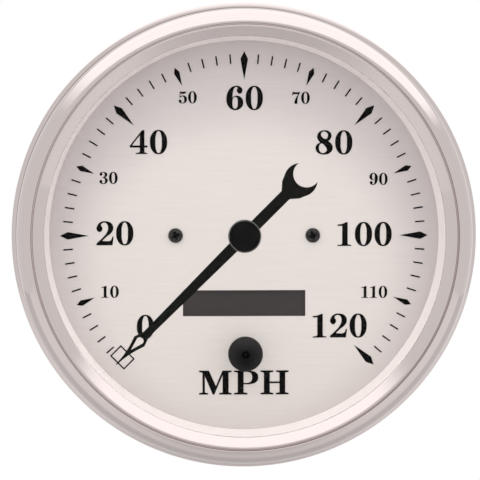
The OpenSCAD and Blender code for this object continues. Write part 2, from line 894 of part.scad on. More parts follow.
module processor_chip() {
    color("black") stand() translate([0, chip_y, 0]) {
        block(chip_w, chip_w, board_z, board_z + chip_h);
        for (i = [0 : lead_count - 1])
            translate([0, (i - (lead_count - 1) / 2) * lead_pitch, 0])
                block(chip_w + 2 * lead_l, lead_w, board_z, board_z + lead_h);
    }
}

module filter_capacitors() {
    color("navy") stand() for (side = [-1, 1]) translate([-cap_x, side * cap_y, 0])
        bar(cap_d, board_z, board_z + cap_h);
}

module voltage_regulator() {
    color("black") stand() translate(regulator_at)
        block(regulator_size[0], regulator_size[1], board_z, board_z + regulator_size[2]);
}

module board_crystal() {
    color("silver") stand() translate([0, crystal_y, 0])
        block(crystal_l, crystal_d, board_z, board_z + crystal_d);
}

module board_spacers() {
    color("khaki") stand() left_right(stud_x, 0) difference() {
        hex_bar(spacer_af, wall_in_z, board_back_z);
        bar(board_screw_d + 2 * screw_fit, board_back_z - spacer_hole_l, board_back_z + cut);
        bar(stud_core_d + 2 * screw_fit, wall_in_z - cut, wall_in_z + spacer_hole_l);
    }
}

module board_screws() {
    color("silver") stand() left_right(stud_x, 0) translate([0, 0, board_z])
        screw(board_screw_head, board_screw_d, board_screw_l);
}

module display_board() {
    mid_y = (display_top_y + display_low_y) / 2;
    color("darkgreen") stand() difference() {
        translate([0, -mid_y, 0])
            block(display_w, display_low_y - display_top_y, display_back_z, display_z);
        left_right(display_spacer_x, -display_spacer_y)
            bar(display_screw_d + 2 * loose_fit, display_back_z - cut, display_z + cut);
        link_places() block(link_pin_w + 2 * screw_fit, link_pin_w + 2 * screw_fit,
            display_back_z - cut, display_z + cut);
    }
}

module display_spacers() {
    color("khaki") stand() left_right(display_spacer_x, -display_spacer_y) difference() {
        bar(display_spacer_d, board_z, display_back_z);
        bar(display_screw_d + 2 * screw_fit, board_z - cut, display_back_z + cut);
    }
}

module display_screws() {
    color("silver") stand() left_right(display_spacer_x, -display_spacer_y) {
        translate([0, 0, display_z]) screw(display_screw_head, display_screw_d, display_screw_l);
        translate([0, 0, board_back_z]) mirror([0, 0, 1])
            screw(display_screw_head, display_screw_d, display_screw_l);
    }
}

module board_link() {
    color("gold") stand() {
        link_places() block(link_pin_w, link_pin_w, board_back_z - link_tail, display_z + link_tail);
        translate([0, -link_y, 0])
            block(link_pins * link_pitch, link_pitch, board_z, board_z + link_h);
    }
}

module lcd_glass() {
    color("dimgray") stand() translate([0, -window_y, 0])
        block(lcd_w, lcd_h, dial_back_z - lcd_t, dial_back_z);
}

module lcd_holder() {
    color("black") stand() translate([0, -window_y, 0]) difference() {
        block(lcd_w + 2 * (holder_fit + holder_wall), lcd_h + 2 * (holder_fit + holder_wall),
            display_z, dial_back_z);
        block(lcd_w + 2 * holder_fit, lcd_h + 2 * holder_fit, display_z - cut, dial_back_z + cut);
    }
}

module lcd_contact_strips() {
    color("pink") stand() for (side = [-1, 1])
        translate([0, -window_y + side * (lcd_h / 2 - strip_inset - strip_w / 2), 0])
            block(strip_l, strip_w, display_z, dial_back_z - lcd_t);
}

module lcd_backlight() {
    color("white") stand() translate([0, -window_y, 0])
        block(backlight_w, backlight_h, display_z, display_z + backlight_t);
}

module tact_switch() {
    color("gray") stand() translate([0, -button_y, 0]) difference() {
        block(switch_w, switch_w, display_z, switch_z);
        bar(actuator_d + 2 * actuator_fit, switch_z - actuator_in - button_travel - loose_fit,
            switch_z + cut);
    }
}

module switch_actuator() {
    color("black") stand() translate([0, -button_y, 0])
        bar(actuator_d, switch_z - actuator_in, stem_z);
}

module trip_knob() {
    round_end = 68;
    color("black") stand() translate([0, -button_y, knob_z]) difference() {
        rotate_extrude() polygon(concat([[0, 0], [knob_d / 2, 0]],
            arc([knob_d / 2 - knob_round, knob_h - knob_dome - knob_round], knob_round, 0, round_end, 8),
            [[dimple_d / 2, knob_h], [0, knob_h - dimple_depth]]));
        bar(stem_d + 2 * press_fit, -cut, stem_in_knob);
    }
}

module trip_stem() {
    color("lightgray") stand() translate([0, -button_y, 0])
        bar(stem_d, stem_z, knob_z + stem_in_knob);
}

module stem_clip() {
    clip_z = bushing_back_z - slide_gap;
    color("slategray") stand() translate([0, -button_y, 0]) difference() {
        bar(clip_d, clip_z - clip_t, clip_z);
        bar(stem_d + 2 * press_fit, clip_z - clip_t - cut, clip_z + cut);
        translate([0, -clip_d / 2, 0]) block(stem_d / 2, clip_d, clip_z - clip_t - cut, clip_z + cut);
    }
}

module stem_bushing() {
    color("silver") stand() translate([0, -button_y, 0]) difference() {
        union() {
            bar(bushing_d, bushing_back_z, bushing_front_z);
            bar(bushing_flange_d, lens_front_z, bushing_front_z);
        }
        bar(stem_d + 2 * running_fit, bushing_back_z - cut, bushing_front_z + cut);
    }
}

module bushing_nut() {
    color("silver") stand() translate([0, -button_y, 0]) difference() {
        bar(bushing_nut_d, bushing_back_z, lens_back_z);
        bar(bushing_d + 2 * screw_fit, bushing_back_z - cut, lens_back_z + cut);
    }
}

module mounting_studs() {
    tip_z = nut_z - stud_l;
    root_z = wall_in_z + stud_hold;
    color("silver") stand() left_right(stud_x, 0) rotate_extrude()
        polygon([[0, tip_z], [stud_d / 2 - stud_chamfer, tip_z], [stud_d / 2, tip_z + stud_chamfer],
            [stud_d / 2, nut_z], [stud_core_d / 2, nut_z], [stud_core_d / 2, root_z], [0, root_z]]);
}

module stud_washers() {
    color("lightgray") stand() left_right(stud_x, 0) difference() {
        bar(washer_d, wall_out_z - washer_t, wall_out_z);
        bar(stud_core_d + 2 * loose_fit, wall_out_z - washer_t - cut, wall_out_z + cut);
    }
}

module stud_nuts() {
    color("lightgray") stand() left_right(stud_x, 0) difference() {
        hex_bar(nut_af, nut_z, nut_z + nut_h);
        bar(stud_core_d + 2 * screw_fit, nut_z - cut, nut_z + nut_h + cut);
    }
}

// A twist lock lamp socket on the axis: outer flange, barrel through the wall, lugs and grip
module lamp_socket() {
    flange_top = wall_out_z - slide_gap;
    flange_back = flange_top - socket_flange_h;
    lug_z = wall_in_z + slide_gap;
    barrel_z = wall_out_z + socket_l;
    difference() {
        union() {
            bar(socket_d, flange_back, barrel_z);
            bar(socket_flange_d, flange_back, flange_top);
            block(socket_d + 2 * lug_out, lug_w, lug_z, lug_z + lug_h);
            block(grip_l, grip_w, flange_back - grip_h, flange_top);
        }
        block(bulb_base_w + 2 * screw_fit, bulb_base_t + 2 * screw_fit, barrel_z - bulb_base_l,
            barrel_z + cut);
    }
}

// A wedge base lamp on the axis, seated in its socket
module lamp_bulb() {
    base_z = wall_out_z + socket_l - bulb_base_l;
    glass_z = wall_out_z + socket_l;
    dome_z = glass_z + bulb_l - bulb_d / 2;
    block(bulb_base_w, bulb_base_t, base_z, dome_z);
    rotate_extrude() polygon(concat([[0, glass_z], [bulb_d / 2, glass_z]],
        arc([0, dome_z], bulb_d / 2, 0, 90, 10)));
}

module left_lamp_socket() {
    color("dimgray") stand() translate([-lamp_x, lamp_y, 0]) lamp_socket();
}

module right_lamp_socket() {
    color("dimgray") stand() translate([lamp_x, lamp_y, 0]) lamp_socket();
}

module left_lamp_bulb() {
    color("lightyellow") stand() translate([-lamp_x, lamp_y, 0]) lamp_bulb();
}

module right_lamp_bulb() {
    color("lightyellow") stand() translate([lamp_x, lamp_y, 0]) lamp_bulb();
}

module terminal_block() {
    color("dimgray") stand() difference() {
        translate([0, -terminal_y, 0]) {
            block(block_w, block_h, wall_out_z - block_flange_t, wall_in_z + block_in);
            block(block_w + 2 * block_flange, block_h + block_flange,
                wall_out_z - block_flange_t, wall_out_z);
        }
        tab_places() block(tab_t + 2 * press_fit, tab_w + 2 * press_fit,
            wall_out_z - block_flange_t - cut, wall_in_z + block_in + cut);
        left_right(rivet_x, -terminal_y)
            bar(rivet_d + 2 * screw_fit, wall_out_z - block_flange_t - cut, wall_out_z + cut);
    }
}

module terminal_tabs() {
    color("goldenrod") stand() tab_places() {
        block(tab_t, tab_w, wall_out_z - block_flange_t - tab_l, wall_in_z + block_in);
        block(tab_t, tab_pin_w, wall_in_z, board_z + tab_pin_tail);
    }
}

module terminal_rivets() {
    head_z = wall_out_z - block_flange_t;
    color("silver") stand() left_right(rivet_x, -terminal_y) {
        bar(rivet_head_d, head_z - rivet_head_h, head_z);
        bar(rivet_d, head_z - rivet_head_h, wall_in_z + rivet_head_h);
        bar(rivet_head_d, wall_in_z, wall_in_z + rivet_head_h);
    }
}

case();
bezel();
lens_gasket();
lens();
reflector_ring();
dial();
dial_scale();
dial_screws();
pointer_blade();
pointer_hub();
spindle();
rotor_magnet();
movement_frame();
movement_screws();
bobbin_lower();
bobbin_upper();
inner_coil();
outer_coil();
upper_bearing();
lower_bearing();
magnetic_shield();
return_magnet();
movement_pins();
main_board();
processor_chip();
filter_capacitors();
voltage_regulator();
board_crystal();
board_spacers();
board_screws();
display_board();
display_spacers();
display_screws();
board_link();
lcd_glass();
lcd_holder();
lcd_contact_strips();
lcd_backlight();
tact_switch();
switch_actuator();
trip_knob();
trip_stem();
stem_clip();
stem_bushing();
bushing_nut();
mounting_studs();
stud_washers();
stud_nuts();
left_lamp_socket();
right_lamp_socket();
left_lamp_bulb();
right_lamp_bulb();
terminal_block();
terminal_tabs();
terminal_rivets();
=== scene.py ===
"""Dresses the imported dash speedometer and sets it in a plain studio.

Sizes are millimetres on the instrument's own axes: x to the right and y up across the dial, and z
out of the dial towards the viewer, from the panel seat at z = 0. STAND turns them into the frame's
metres. Angles are degrees.
"""

import json
import logging
import math
from dataclasses import dataclass, field
from enum import Enum

import bmesh
import bpy
from mathutils import Matrix, Vector


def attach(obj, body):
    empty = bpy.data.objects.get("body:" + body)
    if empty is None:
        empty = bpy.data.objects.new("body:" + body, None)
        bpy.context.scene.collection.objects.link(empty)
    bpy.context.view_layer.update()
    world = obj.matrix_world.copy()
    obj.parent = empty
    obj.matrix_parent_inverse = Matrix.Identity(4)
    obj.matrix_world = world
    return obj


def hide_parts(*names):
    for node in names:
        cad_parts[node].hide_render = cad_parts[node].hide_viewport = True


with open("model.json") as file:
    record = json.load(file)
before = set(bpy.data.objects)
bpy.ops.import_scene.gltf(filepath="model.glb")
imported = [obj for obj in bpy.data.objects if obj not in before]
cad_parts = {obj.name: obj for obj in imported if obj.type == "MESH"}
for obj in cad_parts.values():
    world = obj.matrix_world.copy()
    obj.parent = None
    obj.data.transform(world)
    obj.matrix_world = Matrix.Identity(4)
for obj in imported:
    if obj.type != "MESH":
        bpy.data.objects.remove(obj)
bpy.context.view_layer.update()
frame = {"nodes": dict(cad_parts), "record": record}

LOG = logging.getLogger("speedometer")
MM = 0.001
STAND = Matrix.Rotation(math.radians(90), 4, "X") @ Matrix.Scale(MM, 4)
FULL_TURN = 2 * math.pi
# Points nearer to each other than this are one
WELD = 1e-4
# Faces that meet at more than this angle have a sharp edge between them
SHARP = math.radians(30)
# Length of a wave in Blender's wave texture at scale 1
WAVE_LENGTH = FULL_TURN / 20

Point = tuple[float, float]
Loop = list[Point]
Triple = tuple[float, float, float]
Output = bpy.types.Node | bpy.types.NodeSocket


def linear(hex_colour: str) -> tuple[float, float, float, float]:
    """Turns an sRGB hex colour into linear values.

    Args:
        hex_colour: Six hex digits, red first.

    Returns:
        Linear red, green and blue, and an alpha of 1.
    """
    parts = [int(hex_colour[i:i + 2], 16) / 255 for i in (0, 2, 4)]
    values = [c / 12.92 if c <= 0.04045 else ((c + 0.055) / 1.055) ** 2.4 for c in parts]
    return values[0], values[1], values[2], 1.0


def empty_tree(owner: bpy.types.ID) -> bpy.types.NodeTree:
    """Turns on the nodes of a material, a world or a light.

    Args:
        owner: What has the node tree.

    Returns:
        The tree, with no nodes in it.
    """
    owner.use_nodes = True
    owner.node_tree.nodes.clear()
    return owner.node_tree


def add(tree: bpy.types.NodeTree, kind: str, inputs: dict | None = None,
        **settings: object) -> bpy.types.Node:
    """Adds a node with its settings and links.

    Args:
        tree: The node tree that gets the node.
        kind: Blender's name for the kind of node.
        inputs: Socket name or number to a value, to the output that is linked to it, or to a node
            whose first output in use is linked to it.
        settings: The node's own settings.

    Returns:
        The new node.
    """
    node = tree.nodes.new(kind)
    for key, value in settings.items():
        setattr(node, key, value)
    for key, value in (inputs or {}).items():
        if isinstance(value, bpy.types.Node):
            value = next(output for output in value.outputs if output.enabled)
        if isinstance(value, bpy.types.NodeSocket):
            tree.links.new(value, node.inputs[key])
        else:
            node.inputs[key].default_value = value
    return node


def add_object(name: str, data: bpy.types.ID) -> bpy.types.Object:
    """Adds an object to the scene.

    Args:
        name: Name of the object.
        data: Its mesh, curve, light or camera.

    Returns:
        The object.
    """
    made = bpy.data.objects.new(name, data)
    bpy.context.scene.collection.objects.link(made)
    return made


def shown_mesh(holder: bpy.types.Object) -> bpy.types.Mesh:
    """The mesh that an object's curve or modifiers come to."""
    depsgraph = bpy.context.evaluated_depsgraph_get()
    return bpy.data.meshes.new_from_object(holder.evaluated_get(depsgraph))


def arc(centre: Point, radius: float, start: float, end: float, steps: int) -> Loop:
    """Points along an arc.

    Args:
        centre: Centre of the arc.
        radius: Radius of the arc.
        start: First angle.
        end: Last angle.
        steps: Number of equal steps.

    Returns:
        The points, both ends included.
    """
    angles = [math.radians(start + (end - start) * i / steps) for i in range(steps + 1)]
    return [(centre[0] + radius * math.cos(a), centre[1] + radius * math.sin(a)) for a in angles]


def circle(centre: Point, radius: float, steps: int) -> Loop:
    """Points round a full circle, each of them once."""
    return arc(centre, radius, 0, 360, steps)[:-1]


def smooth_loop(points: list[tuple[float, float, bool]], steps: int = 6) -> Loop:
    """Runs a closed curve through points, some of them corners.

    Args:
        points: x, y and whether the outline is smooth there.
        steps: Straight steps that stand for the curve between two points.

    Returns:
        The closed outline as points.
    """
    reach, count, loop = 0.39, len(points), []

    def handle(here: int, to: int) -> Vector:
        """Bezier handle of a point.

        Args:
            here: Number of the point.
            to: Number of the point on that side.

        Returns:
            Place of the handle.
        """
        at, other = Vector(points[here][:2]), Vector(points[to][:2])
        if not points[here][2]:
            return at + (other - at) / 3
        way = Vector(points[(here + 1) % count][:2]) - Vector(points[here - 1][:2])
        side = 1 if to == (here + 1) % count else -1
        return at + way.normalized() * side * reach * (other - at).length

    for i in range(count):
        j = (i + 1) % count
        loop.append(points[i][:2])
        if not (points[i][2] or points[j][2]):
            continue
        a, b = Vector(points[i][:2]), Vector(points[j][:2])
        c, d = handle(i, j), handle(j, i)
        for k in range(1, steps):
            t = k / steps
            p = (a * (1 - t) ** 3 + c * 3 * t * (1 - t) ** 2
                 + d * 3 * t * t * (1 - t) + b * t ** 3)
            loop.append((p.x, p.y))
    return loop


def finished_mesh(shell: bmesh.types.BMesh, name: str) -> bpy.types.Mesh:
    """Closes a shell into a smooth mesh with sharp corners.

    Args:
        shell: The shell, which is freed.
        name: Name of the mesh.

    Returns:
        The mesh.
    """
    bmesh.ops.remove_doubles(shell, verts=shell.verts, dist=WELD)
    bmesh.ops.recalc_face_normals(shell, faces=shell.faces)
    mesh = bpy.data.meshes.new(name)
    shell.to_mesh(mesh)
    shell.free()
    mesh.shade_smooth()
    mesh.set_sharp_from_angle(angle=SHARP)
    return mesh


def loft(shell: bmesh.types.BMesh, rings: list[Loop], at: Point, closed: bool = True) -> None:
    """Spans faces between rings round an axis along z, and from the last ring to the first.

    Args:
        shell: The shell that gets the faces.
        rings: Radius and z at each equal step round a ring; a ring of one step is a point on the
            axis.
        at: Place of the axis.
        closed: Whether a ring's last step leads back to its first, and isn't a full turn on
            already.
    """
    count = max(map(len, rings))
    steps = count if closed else count - 1
    made = [[shell.verts.new((at[0] + radius * math.cos(FULL_TURN * i / steps),
                              at[1] + radius * math.sin(FULL_TURN * i / steps), z))
             for i, (radius, z) in enumerate(ring)] for ring in rings]
    for low, high in zip(made, made[1:] + made[:1]):
        if len(low) == len(high) == 1:
            continue
        for i in range(steps):
            j = (i + 1) % count
            corners = [low[i % len(low)], low[j % len(low)],
                       high[j % len(high)], high[i % len(high)]]
            shell.faces.new(dict.fromkeys(corners))


def lathe(shell: bmesh.types.BMesh, profile: Loop, at: Point = (0.0, 0.0),
          turns: int = 64) -> None:
    """Turns a profile round an axis that runs along z.

    Args:
        shell: The shell that gets the faces.
        profile: Radius and z of each corner; it closes on itself or on the axis.
        at: Place of the axis.
        turns: Number of faces round the axis.
    """
    loft(shell, [[corner] * (turns if corner[0] > WELD else 1) for corner in profile], at)


def plate(shell: bmesh.types.BMesh, loops: list[Loop], low: float, high: float,
          bevel: float = 0.0) -> None:
    """Fills outlines and gives them a thickness along z.

    Args:
        shell: The shell that gets the faces.
        loops: Outer outline first, then its holes.
        low: Underside z.
        high: Upper side z.
        bevel: Width of the broken edge on both sides.
    """
    curve = bpy.data.curves.new("outline", "CURVE")
    curve.dimensions, curve.fill_mode = "2D", "BOTH"
    curve.extrude, curve.bevel_depth = (high - low) / 2 - bevel, bevel
    curve.offset, curve.bevel_resolution = -bevel, 1
    for loop in loops:
        spline = curve.splines.new("POLY")
        spline.points.add(len(loop) - 1)
        for corner, (x, y) in zip(spline.points, loop):
            corner.co = (x, y, 0, 1)
        spline.use_cyclic_u = True
    holder = add_object("outline", curve)
    solid = shown_mesh(holder)
    solid.transform(Matrix.Translation((0, 0, (low + high) / 2)))
    shell.from_mesh(solid)
    bpy.data.objects.remove(holder)
    bpy.data.curves.remove(curve)
    bpy.data.meshes.remove(solid)


def carve(shell: bmesh.types.BMesh, cutter: bmesh.types.BMesh) -> None:
    """Cuts one closed shell out of another.

    Args:
        shell: The shell that is cut.
        cutter: What is cut away, which is freed.
    """
    body, knife = [add_object("carved", finished_mesh(part, "carved"))
                   for part in (shell.copy(), cutter)]
    cut = body.modifiers.new("cut", "BOOLEAN")
    cut.operation, cut.object = "DIFFERENCE", knife
    solid = shown_mesh(body)
    shell.clear()
    shell.from_mesh(solid)
    for mesh in (solid, body.data, knife.data):
        bpy.data.meshes.remove(mesh)


def axis_distance(tree: bpy.types.NodeTree, at: Point = (0.0, 0.0),
                  wide: float = 1.0) -> bpy.types.Node:
    """Adds the nodes that measure how far a place is from an axis square to the dial.

    Args:
        tree: The material's node tree.
        at: Place of the axis.
        wide: What a length across the dial is multiplied with.

    Returns:
        The node that gives the distance, in metres.
    """
    place = add(tree, "ShaderNodeTexCoord").outputs["Object"]
    offset = (-at[0] * wide * MM, 0, -at[1] * MM)
    across = add(tree, "ShaderNodeVectorMath", {0: place, 1: (wide, 0, 1), 2: offset},
                 operation="MULTIPLY_ADD")
    return add(tree, "ShaderNodeVectorMath", {0: across}, operation="LENGTH")


class Pattern(Enum):
    """How a finish varies over the surface."""

    GRAIN = "even grain"
    BRUSHED = "streaks across the dial"
    TURNED = "rings round the instrument's axis"
    CLOTH = "crossed threads"
    WOUND = "turns of wire"


@dataclass(frozen=True)
class Surface:
    """What the pieces of one material slot look like."""

    slot: str
    title: str

    def shader(self, tree: bpy.types.NodeTree) -> bpy.types.Node:
        """Adds the nodes of the surface's shader; each kind of surface has its own."""
        raise NotImplementedError(self.title)

    def material(self) -> bpy.types.Material:
        """Makes the material once for all its pieces.

        Returns:
            The material.
        """
        made = bpy.data.materials.get(self.title)
        if not made:
            made = bpy.data.materials.new(self.title)
            tree = empty_tree(made)
            add(tree, "ShaderNodeOutputMaterial", {"Surface": self.shader(tree)})
        return made


@dataclass(frozen=True)
class Finish(Surface):
    """A finish with two tones, a roughness range and a pattern of a real size."""

    light: str
    dark: str
    pattern: Pattern
    size: float
    rough: tuple[float, float]
    metallic: float = 0.0
    shine: float = 0.5
    bump: float = 0.0
    bump_strength: float = 0.6
    stretch: float = 40.0
    thread_wander: float = 0.4
    tone_ends: tuple[float, float] = (0.3, 0.7)

    def pattern_value(self, tree: bpy.types.NodeTree) -> Output:
        """Adds the nodes that draw the pattern.

        Args:
            tree: The material's node tree.

        Returns:
            The node or output with the pattern, from 0 to 1.
        """
        place = add(tree, "ShaderNodeTexCoord").outputs["Object"]
        scale = 1 / (self.size * MM)
        if self.pattern is Pattern.TURNED:
            return add(tree, "ShaderNodeTexNoise", {
                "W": axis_distance(tree), "Scale": scale, "Detail": 3}, noise_dimensions="1D")
        if self.pattern in (Pattern.CLOTH, Pattern.WOUND):
            wave = {"Vector": place, "Scale": scale * WAVE_LENGTH,
                    "Distortion": self.thread_wander}
            threads = [add(tree, "ShaderNodeTexWave", wave, bands_direction=way).outputs["Fac"]
                       for way in ("Z", "X")]
            if self.pattern is Pattern.WOUND:
                return threads[0]
            return add(tree, "ShaderNodeMath", {0: threads[0], 1: threads[1]},
                       operation="MULTIPLY")
        if self.pattern is Pattern.BRUSHED:
            place = add(tree, "ShaderNodeMapping", {
                "Vector": place, "Scale": (1 / self.stretch, 1, 1)})
        return add(tree, "ShaderNodeTexNoise", {
            "Vector": place, "Scale": scale, "Detail": 4, "Roughness": 0.6})

    def tone(self, tree: bpy.types.NodeTree, value: Output) -> bpy.types.Node:
        """Adds the ramp between the two tones.

        Args:
            tree: The material's node tree.
            value: The pattern, from 0 to 1.

        Returns:
            The node with the colour.
        """
        ramp = add(tree, "ShaderNodeValToRGB", {"Fac": value})
        for end, place, tone in zip(ramp.color_ramp.elements, self.tone_ends,
                                    (self.dark, self.light)):
            end.position, end.color = place, linear(tone)
        return ramp

    def shader(self, tree: bpy.types.NodeTree) -> bpy.types.Node:
        """Adds the nodes from the pattern to the shader.

        Args:
            tree: The material's node tree.

        Returns:
            The shader.
        """
        value = self.pattern_value(tree)
        rough = add(tree, "ShaderNodeMapRange", {
            "Value": value, "To Min": self.rough[0], "To Max": self.rough[1]})
        sockets = {"Base Color": self.tone(tree, value), "Roughness": rough,
                   "Metallic": self.metallic}
        if not self.metallic:
            sockets["Specular IOR Level"] = self.shine
        if self.bump:
            sockets["Normal"] = add(tree, "ShaderNodeBump", {
                "Height": value, "Strength": self.bump_strength, "Distance": self.bump * MM})
        return add(tree, "ShaderNodeBsdfPrincipled", sockets)


@dataclass(frozen=True)
class PaintedLightFinish(Finish):
    """A finish with painted light: painted shade that grows darker away from an axis, or a painted
    highlight that grows paler where shade is below 0.
    """

    shade: Triple = (0.0, 0.0, 0.0)
    shade_at: Point = (0.0, 0.0)
    shade_wide: float = 1.0
    shade_start: float = 0.0
    shade_end: float = 1.0

    def tone(self, tree: bpy.types.NodeTree, value: Output) -> bpy.types.Node:
        """Adds the two tones and paints shade on them towards the edge, or a painted highlight
        where shade is below 0.

        Args:
            tree: The material's node tree.
            value: The pattern, from 0 to 1.

        Returns:
            The node with the colour.
        """
        share = add(tree, "ShaderNodeMapRange", {
            "Value": axis_distance(tree, self.shade_at, self.shade_wide),
            "From Min": self.shade_start * MM, "From Max": self.shade_end * MM},
            interpolation_type="SMOOTHSTEP")
        taken = [-part for part in self.shade]
        left = add(tree, "ShaderNodeVectorMath", {0: share, 1: taken, 2: (1, 1, 1)},
                   operation="MULTIPLY_ADD")
        return add(tree, "ShaderNodeVectorMath", {0: super().tone(tree, value), 1: left},
                   operation="MULTIPLY")


@dataclass(frozen=True)
class ClearGlass(Surface):
    """Clear glass that lets light through to what is behind it."""

    tint: str
    front_shine: float
    smudge: float
    smudge_rough: float = 0.05
    side_rise: float = 5.0

    def shader(self, tree: bpy.types.NodeTree) -> bpy.types.Node:
        """Adds a clear shader and a mirror that takes over towards the side.

        Args:
            tree: The material's node tree.

        Returns:
            The shader.
        """
        place = add(tree, "ShaderNodeTexCoord").outputs["Object"]
        wiped = add(tree, "ShaderNodeTexNoise", {
            "Vector": place, "Scale": 1 / (self.smudge * MM), "Detail": 3})
        rough = add(tree, "ShaderNodeMapRange", {"Value": wiped, "To Max": self.smudge_rough})
        mirror = add(tree, "ShaderNodeBsdfPrincipled", {
            "Base Color": (1, 1, 1, 1), "Roughness": rough, "Metallic": 1.0})
        clear = add(tree, "ShaderNodeBsdfTransparent", {"Color": linear(self.tint)})
        aslant = add(tree, "ShaderNodeLayerWeight", {"Blend": 0.5}).outputs["Facing"]
        steep = add(tree, "ShaderNodeMath", {0: aslant, 1: self.side_rise}, operation="POWER")
        share = add(tree, "ShaderNodeMapRange", {"Value": steep, "To Min": self.front_shine})
        return add(tree, "ShaderNodeMixShader", {0: share, 1: clear, 2: mirror})


